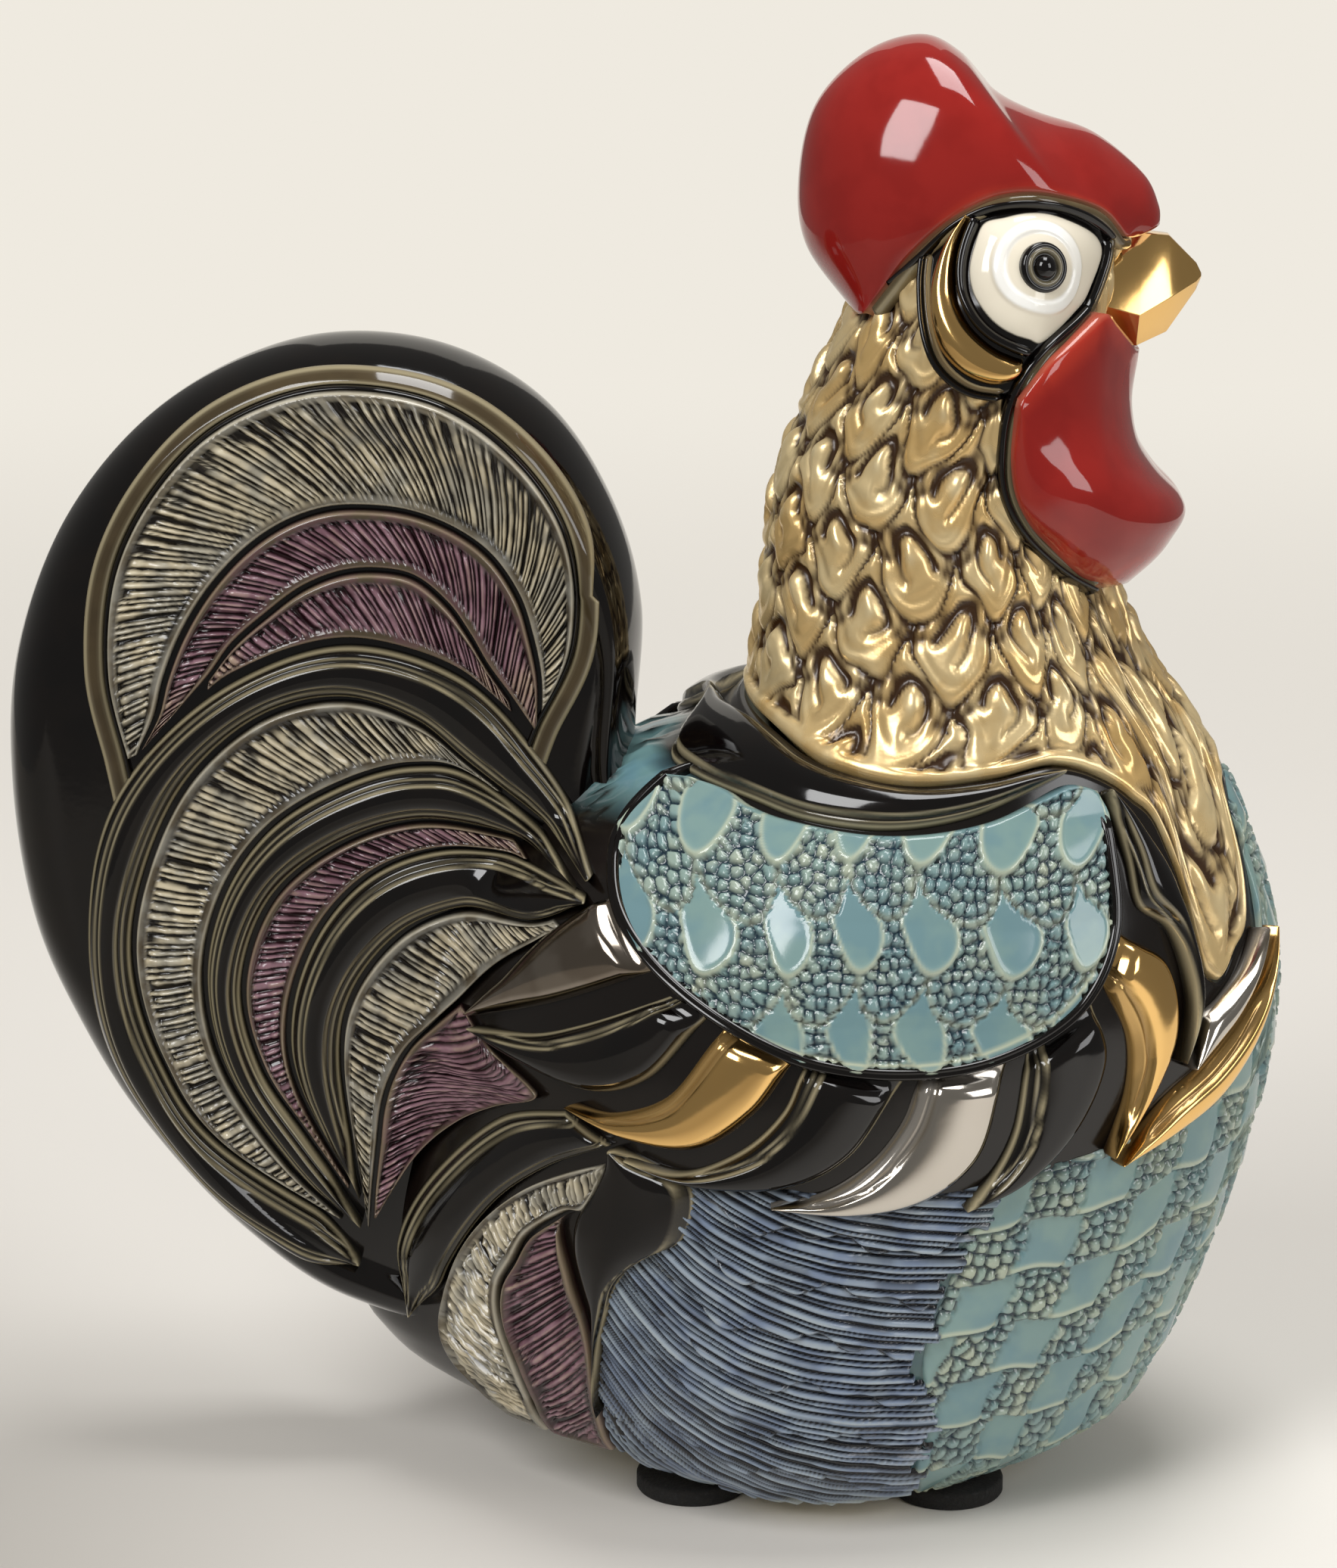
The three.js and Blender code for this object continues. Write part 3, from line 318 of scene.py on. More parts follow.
def outwards(points, faces):
    # Turns every face round if the enclosed volume comes out negative.
    volume = 0
    for f in faces:
        first = points[f[:, 0]]
        for k in range(1, f.shape[1] - 1):
            volume += np.einsum("ij,ij->", first, np.cross(points[f[:, k]], points[f[:, k + 1]]))
    return [f[:, ::-1] for f in faces] if volume < 0 else faces


def weld(points, faces, layers):
    # Merges points that share a place, and makes quads that lose a corner triangles.
    _, firsts, inverse = np.unique(np.round(points, 5), axis=0, return_index=True, return_inverse=True)
    kept = []
    for f in faces:
        f = inverse.ravel()[f]
        same = f == np.roll(f, -1, axis=1)
        kept.append(f[~same.any(axis=1)])
        collapsed = f[same.sum(axis=1) == 1]
        if f.shape[1] == 4 and len(collapsed):
            left = ~(collapsed == np.roll(collapsed, -1, axis=1))
            kept.append(collapsed[left].reshape(-1, 3))
    return points[firsts], [f for f in kept if len(f)], {k: v[firsts] for k, v in layers.items()}


def gridFaces(rows, columns, wrapRows=False, wrapColumns=False):
    i = np.arange(rows if wrapRows else rows - 1)[:, None]
    j = np.arange(columns if wrapColumns else columns - 1)[None, :]
    n, m = (i + 1) % rows, (j + 1) % columns
    return np.stack([a * columns + b for a, b in ((i, j), (n, j), (n, m), (i, m))], -1).reshape(-1, 4)


def newObject(name, data):
    item = bpy.data.objects.new(name, data)
    bpy.context.scene.collection.objects.link(item)
    return item


def addPiece(name, surface, finish, nodes):
    # A surface is its points, its faces and its layers.
    points, faces, layers = surface
    mesh = makeMesh(name, points, outwards(points, faces), layers)
    mesh.materials.append(materials[finish])
    piece = newObject(name, mesh)
    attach(piece, "root")
    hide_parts(*nodes)
    return piece


def addBoth(name, surface, finish, nodes):
    # The piece on the bird's right and its mirror image on the left.
    points, faces, layers = surface
    for label, side in (("right", 1), ("left", -1)):
        own = [f"{n}_{label}" if f"{n}_{label}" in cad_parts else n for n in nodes]
        addPiece(f"{name}_{label}", (points * [1, side, 1], faces, layers), finish, own)


def spreadLayers(layers, shape):
    # A value for every point of the grid.
    return {k: np.broadcast_to(v, shape).ravel() for k, v in layers.items()}


def closedSheet(grid, layers, under=None):
    # A grid of points whose border lies low enough to be hidden, made a tube: each row runs on along the
    # points under it, or straight back to its start, and there is a face at each end.
    if under is not None:
        layers = {k: np.concatenate([np.broadcast_to(v, grid.shape[:2]), np.zeros(under.shape[:2])], 1)
                  for k, v in layers.items()}
        grid = np.concatenate([grid, under[:, ::-1]], 1)
    rows, columns = grid.shape[:2]
    firstRow = np.arange(columns)[None]
    lastRow = firstRow + (rows - 1) * columns
    faces = [gridFaces(rows, columns, wrapColumns=True), firstRow, lastRow[:, ::-1]]
    return grid.reshape(-1, 3), faces, spreadLayers(layers, (rows, columns))


def closedGrid(grid, layers, moreFaces=(), wrapColumns=False):
    # A grid whose last row runs on into its first. Points that meet in a pole or a seam are joined.
    shape = grid.shape[:2]
    faces = [gridFaces(*shape, wrapRows=True, wrapColumns=wrapColumns), *moreFaces]
    return weld(grid.reshape(-1, 3), faces, spreadLayers(layers, shape))


def closedDisc(grid, layers):
    # A ring of radii, joined at the middle, with a flat face under its rim.
    rows, columns = grid.shape[:2]
    return closedGrid(grid, layers, [np.arange(1, rows + 1)[None] * columns - 1])


def spread(width, count, edges=(0, 0.05, 0.16, 0.34, 0.6)):
    # Places from 0 to the width: close together at both edges, even in between.
    width = np.asarray(width, float)[..., None]
    near = np.array(edges) * np.minimum(1, width / (3 * edges[-1]))
    t = np.linspace(0, 1, count + 2)[1:-1]
    inner = mix(near[..., -1:], width - near[..., -1:], t)
    return np.concatenate([near, inner, width - near[..., ::-1]], -1)


def ribbon(first, second, place, shape):
    # A strip between two lines on the surface that place(u, v, lift) gives. Rows lie at equal steps along
    # the middle, slanted by the shear; columns run from the first line to the second. Gives the grid's u and
    # v, and in mm the distances along, across and to the nearest edge, the width and the length.
    a, b = curveThrough(first), curveThrough(second)
    at = np.linspace(shape.get("from", 0), shape.get("to", 1), 400)
    p, q = a(at), b(at)
    width = np.linalg.norm(place(*p.T, 0) - place(*q.T, 0), axis=-1)
    length = lengthAlong(place(*((p + q) / 2).T, 0))
    whole = length[-1]
    along = spread(whole, max(8, round(whole / shape["step"])))
    gap = shape.get("gap", 0.5)
    clear = np.maximum(np.interp(along, length, width) - gap, 0.5)[:, None]
    across = spread(clear[:, 0], shape["columns"])
    lean = shape.get("shear", 0) * (across - clear / 2)
    room = np.minimum(along, whole - along)[:, None]
    along = along[:, None] + np.clip(lean, -0.8 * room, 0.8 * room)
    wide = np.interp(along, length, width)
    inner = wide - gap
    across = across * inner / clear
    share = (gap / 2 + across) / wide
    if shape.get("taper"):   # the far end draws in to a point
        pinch = mix(0.06, 1, np.sqrt(smoothStep(whole - along, 0, shape["taper"])))
        share = 0.5 + (share - 0.5) * pinch
        across, inner = across * pinch, inner * pinch
    at = np.interp(along, length, at)
    u, v = np.moveaxis(mix(a(at), b(at), share[..., None]), -1, 0)
    fromEdge = np.minimum(across, np.maximum(inner - across, 0))
    # A tucked far end runs on under another piece and isn't rounded.
    fromEnd = along if shape.get("tuck") else np.minimum(along, whole - along)
    return {"u": u, "v": v, "along": along, "across": across, "width": inner, "length": whole,
            "edge": np.minimum(fromEdge, np.maximum(fromEnd, 0))}


def runOn(corners, distance):
    # The line with one more corner, in its last direction.
    toLength = [form["flankDegree"], 1]
    last, before = np.array(corners[-1], float), np.array(corners[-2], float)
    step = (last - before) * toLength
    return [*corners, tuple(last + step / np.hypot(*step) * distance / toLength)]


def quarterRound(distance, radius):
    return np.sqrt(np.maximum(1 - (1 - np.clip(distance / radius, 0, 1)) ** 2, 0))


def line(distance, width):
    # 1 on a carved line, falling to 0 at its sides.
    return np.exp(-(distance / width) ** 2)


print("tools ready")


# Glazes and lustres

def linear(hexColour):
    # sRGB hex to the linear colour that shaders take.
    parts = [int(hexColour[i:i + 2], 16) / 255 for i in (1, 3, 5)]
    return (*[c / 12.92 if c <= 0.04045 else ((c + 0.055) / 1.055) ** 2.4 for c in parts], 1)


def add(tree, kind, inputs=(), **settings):
    # A node with its settings; an input is a value or another node's output.
    node = tree.nodes.new("ShaderNode" + kind)
    for key, value in settings.items():
        setattr(node, key, value)
    for key, value in dict(inputs).items():
        if isinstance(value, bpy.types.NodeSocket):
            tree.links.new(value, node.inputs[key])
        else:
            node.inputs[key].default_value = value
    return node


def blend(tree, share, first, second):
    return add(tree, "Mix", {0: share, 6: first, 7: second}, data_type="RGBA").outputs[2]


def emptyMaterial(name):
    material = bpy.data.materials.new(name)
    material.use_nodes = True
    material.node_tree.nodes.clear()
    return material, material.node_tree


def glaze(name, look):
    # Field and second colour mixed by the tone layer and mottled by noise, then the groove colour where glaze
    # or stain pools and the thin colour where it runs off an edge. Fine noise makes the surface uneven.
    material, tree = emptyMaterial(name)
    where = add(tree, "TexCoord").outputs["Object"]
    tone, groove, thin, cell = [add(tree, "Attribute", attribute_name=layer).outputs["Fac"]
                                for layer in ("tone", "groove", "thin", "cell")]
    mottle = add(tree, "TexNoise", {"Vector": where, "Scale": 1000 / look["mottleSize"], "Detail": 3.0})
    patchy = add(tree, "MapRange", {0: mottle.outputs["Fac"], 1: 0.4, 2: 0.62, 3: 0.0, 4: look["mottle"]},
                 interpolation_type="SMOOTHSTEP")
    spotty = add(tree, "Math", {0: cell, 1: look["cells"], 2: patchy.outputs[0]}, operation="MULTIPLY_ADD")
    colour = blend(tree, tone, linear(look["field"]), linear(look["second"]))
    for share, key in ((spotty.outputs[0], "patch"), (groove, "groove"), (thin, "thin")):
        colour = blend(tree, share, colour, linear(look[key]))
    rough = add(tree, "MapRange", {0: mottle.outputs["Fac"], 1: 0.3, 2: 0.7, 3: look["roughness"] * 0.8,
                                   4: look["roughness"] * 1.25})
    grain = add(tree, "TexNoise", {"Vector": where, "Scale": 1000 / look["grainSize"], "Detail": 2.0})
    bump = add(tree, "Bump", {"Height": grain.outputs["Fac"], "Distance": look["grain"] / 1000})
    bump.inputs["Strength"].default_value = 1.0
    shader = add(tree, "BsdfPrincipled", {"Base Color": colour, "Roughness": rough.outputs[0],
                                          "Normal": bump.outputs["Normal"]})
    if look["metallic"]:
        worn = add(tree, "Math", {0: groove, 1: -look["metallic"] * look["stain"], 2: look["metallic"]},
                   operation="MULTIPLY_ADD")
        tree.links.new(worn.outputs[0], shader.inputs["Metallic"])
    else:
        shader.inputs["IOR"].default_value = 1.52
    tree.links.new(shader.outputs[0], add(tree, "OutputMaterial").inputs["Surface"])
    return material


plain = {"mottleSize": 7, "mottle": 0.25, "cells": 0.0, "roughness": 0.14, "metallic": 0, "stain": 0.9,
         "grainSize": 2.5, "grain": 0.01}   # sizes and depth in mm
looks = {
    # Iron-manganese black gloss glaze, brushed on and fired: near black and wet-looking, brown where thin.
    "blackGlaze": {"field": "#060404", "second": "#5E5038", "patch": "#130C08", "groove": "#050404",
                   "thin": "#B5A988", "roughness": 0.08},
    # Celadon-like turquoise glaze over white clay: pale on raised tiles, deep blue where it pools.
    "blueGlaze": {"field": "#7F9A95", "second": "#ACB4A0", "patch": "#6B8B92", "groove": "#122A3A",
                  "thin": "#C4C9AE", "roughness": 0.13, "mottle": 0.65, "cells": 0.3},
    # The same glaze on the body, painted black between the feathers.
    "bodyGlaze": {"field": "#67898A", "second": "#9DA68F", "patch": "#587F92", "groove": "#120D0A",
                  "thin": "#CFC9B0", "roughness": 0.15, "mottle": 0.5},
    # Blue-grey stain rubbed into combed clay under a clear glaze: pale ridges, navy grooves.
    "combedBlue": {"field": "#8F9DAD", "second": "#7FA0A2", "patch": "#5F7093", "groove": "#090B13",
                   "thin": "#BDC4BE", "roughness": 0.2, "mottle": 0.5, "mottleSize": 5},
    # Umber stain rubbed into combed clay under a clear glaze: cream ridges, dark grooves.
    "combedCream": {"field": "#C8BCA0", "second": "#4A4030", "patch": "#8B8980", "groove": "#120C07",
                    "thin": "#EBE2CA", "roughness": 0.18, "mottle": 0.7, "mottleSize": 4},
    # The same combing under a mulberry glaze: mauve ridges, wine-dark grooves, cream tips.
    "combedPurple": {"field": "#93717B", "second": "#4A4030", "patch": "#603E49", "groove": "#1E080D",
                     "thin": "#BBA68C", "roughness": 0.18, "mottle": 0.6, "mottleSize": 4},
    # Gold lustre over carved clay, umber stain in the cuts: satin metal, dark grooves, and near-white crests
    # where the lustre runs thin, brightened into a painted highlight.
    "antiqueGold": {"field": "#EBCF98", "second": "#DDB878", "patch": "#F4E2B4", "groove": "#3A240F",
                    "thin": "#FFF3CC", "roughness": 0.28, "metallic": 0.5, "stain": 0.85, "mottle": 0.5,
                    "grain": 0.05, "grainSize": 1.6},
    # Bright gold lustre over glaze: a mirror, brown where it reflects the dark.
    "goldLustre": {"field": "#F4C880", "second": "#E0AC5C", "patch": "#EFBF76", "groove": "#2A1A0C",
                   "thin": "#8A6A34", "roughness": 0.13, "metallic": 1.0, "stain": 0.9},
    # Platinum lustre over glaze: a grey mirror; its darker, browner second colour is a painted reflection of
    # the dark, used on the first wing feather.
    "silverLustre": {"field": "#C9C3BA", "second": "#857B70", "patch": "#C2BAB0", "groove": "#241D17",
                     "thin": "#8C7F6A", "roughness": 0.12, "metallic": 1.0, "stain": 0.9},
    # Cadmium red glaze: deep and glossy, lighter orange-red where it thins on edges.
    "redGlaze": {"field": "#93201B", "second": "#AC3022", "patch": "#841814", "groove": "#2E1513",
                 "thin": "#C79C7E", "roughness": 0.07, "mottle": 0.5},
    # White tin glaze; its whiter second colour is the painted highlight on the eye's raised ring.
    "whiteGlaze": {"field": "#EFE6D2", "second": "#FBFAF5", "patch": "#E6DCC6", "groove": "#1C1611",
                   "thin": "#DCCFB2", "roughness": 0.08},
    # Needled wool felt, dyed black: dull and fibrous.
    "blackFelt": {"field": "#161514", "second": "#161514", "patch": "#23211F", "groove": "#161514",
                  "thin": "#161514", "roughness": 0.95, "grain": 0.25, "grainSize": 0.5,
                  "mottleSize": 0.8, "mottle": 0.8},
}
materials = {key: glaze(key, {**plain, **look}) for key, look in looks.items()}
slots = {key: re.sub("([A-Z])", r"_\1", key).lower() for key in looks}
slots["bodyGlaze"] = slots["combedBlue"] = "blue_glaze"
print("glazes:", len(materials))


# Body and neck

body = {"columns": 400, "rows": 100, "wall": 7, "footThickness": 13, "ventRadius": 8,
        "scaleAcross": 9, "scaleDown": 7, "scaleHeight": 0.7}


def makeBody():
    # Rows at shares of the height up to the cape's edge; inside, a hollow offset by the wall, down to the
    # foot and the vent through it. Below the collar at the back the skin has scales.
    angles = np.linspace(-180, 180, body["columns"], endpoint=False)
    rim = capeEdge(angles, -form["capeGap"] / 2)
    height = rim * np.linspace(0, 1, body["rows"])[:, None] ** 0.9
    run = lengthAlong(onBody(angles[None], height)[..., :2], 1)
    front = np.argmin(np.abs(angles))
    scale = roofScales(np.abs(run - run[:, front:front + 1]), height, body["scaleAcross"], body["scaleDown"])
    cover = smoothStep(height, 84, 89) * smoothStep(np.abs(angles)[None], 128, 134)
    cover = cover * (1 - smoothStep(height - form["collar"](np.abs(angles)), -0.8, 0.2))
    relief = body["scaleHeight"] * smoothStep(1 - scale["rim"], 0, 0.3) * cover
    outside = onBody(angles[None], height, relief)
    ground, wall = body["footThickness"], body["wall"]
    inside = [onBody(angles, np.maximum(rim * s, ground + wall), -wall) for s in (1, 0.8, 0.5)]
    corner = onBody(angles, ground, -wall)
    corner[:, 2] = ground
    turn = np.radians(-angles)
    vent = body["ventRadius"] * np.stack([np.cos(turn), np.sin(turn), 0 * turn], -1)
    vent = vent + [np.mean(form["padX"]), 0, 0]
    under = np.stack([*inside, corner, vent + [0, 0, ground], vent])
    extra = np.zeros(under.shape[:2])
    bare = 1 - cover * smoothStep(scale["above"], 0, 0.2)
    lowRim = 1 - smoothStep(height, 1.5, 4)
    dark = mix(0.45, 1, np.maximum(smoothStep(height, 40, 46), smoothStep(np.abs(angles), 100, 106)))
    layers = {"groove": np.vstack([bare * (1 - lowRim) * dark, extra]),
              "thin": np.vstack([lowRim, extra + 1])}
    surface = closedGrid(np.concatenate([outside, under]), layers, wrapColumns=True)
    addPiece("body_skin", surface, "bodyGlaze", ["body_shell"])


neck = {
    "columns": 440, "rows": 208, "wall": 5.5, "point": 1.6,
    # Heights and depths in mm, places and widths in shares of a scale.
    "curl": {"depth": 0.8, "radius": 0.42, "width": 0.13}, "bead": {"height": 0.35, "width": 0.18},
    "inner": {"depth": 0.4, "at": 0.72, "width": 0.11}, "echo": {"depth": 0.35, "at": 0.3, "width": 0.14},
    "rimDepth": 1.0, "rimWidth": 0.13, "smooth": 0.45, "faceDepth": 0.1,
    # The bare patch round the eye, from under the comb to the line behind the cheek.
    "face": [(131, 153.6), (121.2, 156.2), (111.8, 157.8), (101.5, 158.7), (86.5, 159), (71, 158.6),
             (57, 157.4), (45.2, 155.9), (36, 154.4), (31, 151.6), (36, 148.3), (44, 147), (52, 146.2),
             (58.8, 145), (70.8, 143), (80.2, 140), (85.5, 137.4), (98.5, 137.5), (107, 138.9),
             (115, 141.3), (122.5, 145), (128.5, 149.4)],
    "faceCentre": (79, 150),
}


def shareOut(outline, centre, u, v):
    # How far a place on the body lies towards an outline round the centre: 0 in the middle, 1 on the outline.
    toLength = [form["headDegree"], 1]
    ring = (curveThrough(outline, closed=True)(np.linspace(0, 1, 400)) - centre) * toLength
    x, y = (u - centre[0]) * toLength[0], v - centre[1]
    directions, reaches = np.arctan2(ring[:, 1], ring[:, 0]), np.hypot(*ring.T)
    return np.hypot(x, y) / np.interp(np.arctan2(y, x), directions, reaches, period=2 * np.pi)


def makeNeck():
    # Rows from the cape's edge to the head's top. Each scale is a tongue that stands up towards its lower
    # lip, with an open curl cut into it, a bead beside the curl's end and a cut line along its rim.
    angles = np.linspace(-180, 180, neck["columns"], endpoint=False)
    edge = capeEdge(angles, form["capeGap"] / 2)
    share = np.linspace(0, 1, neck["rows"])[:, None]
    height = mix(edge, form["headTop"], share)
    steps = latticeSteps(angles)[None] + 0 * share
    rows = lattice["scaleRows"] * share + 0.09 * np.sin(steps * 2.3) + 0.05 * np.sin(steps * 5.1 + 1)
    steps = steps + 0.12 * np.sin(rows * 2.9) + 0.07 * np.sin(rows * 7.3 + steps)
    scale = roofScales(steps + 1, rows, 2, 1, neck["point"])
    rim, side, fall, above, column, row = scale.values()
    hand = np.where(scatter(column, row) > 0.5, 1, -1)
    curl, bead, inner, echo = neck["curl"], neck["bead"], neck["inner"], neck["echo"]
    relief = mix(0.15, 0.75, np.clip(fall, 0, 1)) + 0.22 * np.cos(np.clip(rim, 0, 1) * np.pi / 2)
    curlAt = np.hypot(side * 1.05, (fall - 0.1) * 1.15) - curl["radius"]
    turn = np.arctan2(fall - 0.1, side * hand)
    relief = relief - curl["depth"] * line(curlAt, curl["width"]) * smoothStep(np.abs(turn - 2.2), 0.45, 0.9)
    relief = relief + bead["height"] * line(np.hypot(side - 0.1 * hand, fall - 0.06), bead["width"])
    relief = relief - inner["depth"] * line(rim - inner["at"], inner["width"]) * smoothStep(fall, -0.3, 0.1)
    relief = relief - neck["rimDepth"] * (line(rim - 1, neck["rimWidth"]) + 0.5 * line(above, 0.1))
    relief = relief - echo["depth"] * line(above - echo["at"], echo["width"]) * smoothStep(-above, -0.6, -0.2)
    plain = np.maximum(1 - smoothStep(height - edge, 0.8, 1.6), smoothStep(height, 157, 160))
    relief = mix(relief, neck["smooth"], plain)
    outOfFace = shareOut(neck["face"], neck["faceCentre"], np.abs(angles)[None], height)
    face = 1 - smoothStep(outOfFace, 0.97, 1.02)
    relief = mix(relief, -neck["faceDepth"], face)
    outside = onBody(angles[None], height, relief * smoothStep(height - edge, 0, 0.5))
    top = np.tile([form["crownCentre"], 0, form["headTop"] + form["crownRise"]], (len(angles), 1))
    wall = neck["wall"]
    inside = [onBody(angles, mix(edge, form["headTop"] - wall, s), -wall) for s in (0.9, 0.55, 0.25, 0)]
    under = np.stack([top, top - [0, 0, wall + form["crownRise"]], *inside])
    extra = np.zeros(under.shape[:2])
    layers = {
        "groove": np.vstack([np.maximum(smoothStep(-relief, -0.02, 0.42), face), extra]),
        # Raised crests painted near white: the lustre running thin there, and a painted highlight.
        "thin": np.vstack([smoothStep(relief, 0.55, 1.0) * 0.7, extra]),
        "tone": np.vstack([scatter(column, row, 4), extra]),
    }
    surface = closedGrid(np.concatenate([outside, under]), layers, wrapColumns=True)
    addPiece("neck_scales", surface, "antiqueGold", ["neck_hackle"])


makeBody()
makeNeck()
print("body and neck")


# Fan tail

roll = {"directions": 420, "insets": 60, "fine": 15}   # close rows as far as this in from the rim, in mm


def makeFan():
    # Both faces of the fan in one grid: from the middle of one side out to the rim and back on the other.
    direction = np.linspace(0, 360, roll["directions"], endpoint=False)[:, None]
    reach = fanRadius(direction)
    t = np.linspace(0, 1, roll["insets"])[None]
    inset = np.where(t < 0.7, (t / 0.7) ** 1.6 * roll["fine"], mix(roll["fine"], reach, (t - 0.7) / 0.3))
    radius = reach - np.minimum(inset, reach)
    half = fanHalf(direction, radius)
    x = fan["centre"][0] + radius * np.cos(np.radians(direction))
    z = fan["centre"][1] + radius * np.sin(np.radians(direction))
    right, left = np.stack([x, -half, z], -1), np.stack([x, half, z], -1)
    surface = closedGrid(np.concatenate([right[:, ::-1], left[:, 1:]], 1), {"tone": 0.0})
    addPiece("tail_border", surface, "blackGlaze", ["tail_fan"])


makeFan()
vaneShape = {"step": 0.19, "columns": 14, "shear": -0.8, "bend": 0.02, "pitch": 0.95, "height": 1.5,
             "band": 1.2, "tips": 0, "sunk": -0.4, "under": -1.2}


def vane(name, first, second, place, finish, nodes, shape):
    # A combed field: ridges run across it, slanted by the shear, inside a smooth band along both edges.
    shape = {**vaneShape, **shape}
    seed = shape["seed"]
    r = ribbon(first, second, place, shape)
    along, across, width, edge = [r[key] for key in ("along", "across", "width", "edge")]
    side = across - width / 2
    combLine = along - shape["shear"] * side + shape["bend"] * side ** 2
    bandWidth = np.minimum(shape["band"], 0.16 * width)
    inBand = 1 - smoothStep(edge, bandWidth, bandWidth + 0.25)
    bandCut = edge - bandWidth - 0.1
    ridge = ripple(across, combLine, shape["pitch"], seed)
    strand = np.round(combLine / shape["pitch"])
    broken = np.sin(across * 1.7 + 9 * scatter(strand, seed)) * np.sin(across * 0.6 + 5 * scatter(strand, 2))
    reach = 0.6 + 0.4 * scatter(strand, 3)   # each second barb stops short of the far edge
    short = smoothStep(1 - across / width, reach, reach + 0.12) * np.mod(strand, 2)
    ridge = ridge * mix(0.62, 1, smoothStep(broken, -0.5, 0.2)) * (1 - 0.7 * short)
    relief = mix(-0.8 + 1.05 * ridge, 0.15, inBand) - 0.4 * line(bandCut, 0.18)
    lift = shape["sunk"] + (shape["height"] - shape["sunk"]) * quarterRound(edge, 0.5)
    lift = lift + relief * smoothStep(edge, 0.1, 0.5)
    combed = 1 - inBand
    groove = np.maximum((1 - smoothStep(ridge, 0.2, 0.58)) * combed, line(bandCut, 0.16))
    groove = np.maximum(groove, 1 - smoothStep(edge, 0, 0.25))
    ends = 1 - smoothStep(across / width, 0.1, 0.3)
    thin = smoothStep(ridge, 0.7, 1) * (0.35 + 0.5 * ends * scatter(strand, 6)) * combed
    if shape["tips"]:   # bare clay at both ends
        fromEnd = np.minimum(along, r["length"] - along)
        tips = 1 - smoothStep(fromEnd, shape["tips"] * 0.6, shape["tips"] + 0.1)
        thin = np.maximum(thin, tips * 0.7 * smoothStep(ridge, 0.3, 0.7) * combed)
    thin = np.maximum(thin, 0.5 * line(edge - 0.35, 0.16))
    layers = {"groove": groove, "thin": thin, "tone": inBand, "cell": scatter(strand, seed)}
    below = place(r["u"][:, 4:-4:4], r["v"][:, 4:-4:4], shape["under"])
    addBoth(name, closedSheet(place(r["u"], r["v"], lift), layers, below), finish, nodes)


featherShape = {"step": 0.7, "columns": 22, "height": 2.8, "radius": 1.5, "band": 1.9, "secondBand": 0,
                "crown": 1.1, "base": -0.4, "tone": 0.0, "tuck": False}


def feather(name, first, second, place, finish, nodes, shape):
    # A glossy pillow between two lines: a quarter round at its edges and a low crown. A carved line marks
    # off a band along the first line, and another along the second if it has one. Glaze runs thin beside
    # the cuts.
    shape = {**featherShape, **shape}
    r = ribbon(first, second, place, shape)
    width, across, edge = r["width"], r["across"], r["edge"]
    middle = np.sin(np.pi * np.clip(across / width, 0, 1))
    body = quarterRound(edge, np.minimum(shape["radius"], 0.3 * width))
    cuts, thin = 0, line(edge - 0.3, 0.16) * 0.8
    for band, inFrom in ((shape["band"], across), (shape["secondBand"], width - across)):
        if band:
            at = np.minimum(band, 0.26 * width)
            fades = smoothStep(width, 2.0, 4.0)
            step = 1 - smoothStep(inFrom, at - 0.1, at + 0.3)
            cuts = cuts + (0.55 * line(inFrom - at, 0.26) + 0.35 * step) * fades
            thin = np.maximum(thin, line(np.abs(inFrom - at) - 0.34, 0.12) * 0.7 * fades)
    lift = shape["base"] + (shape["height"] - shape["base"] - shape["crown"] * (1 - middle)) * body
    if shape["tuck"]:
        lift = lift * mix(0.3, 1, smoothStep(r["length"] - r["along"], 1.2, 3.4))
    lift = lift - cuts * smoothStep(edge, 0.1, 0.5)
    layers = {"groove": np.maximum(1 - smoothStep(edge, 0.0, 0.15), np.clip(cuts, 0, 0.6)), "thin": thin,
              "tone": shape["tone"]}
    addBoth(name, closedSheet(place(r["u"], r["v"], lift), layers), finish, nodes)


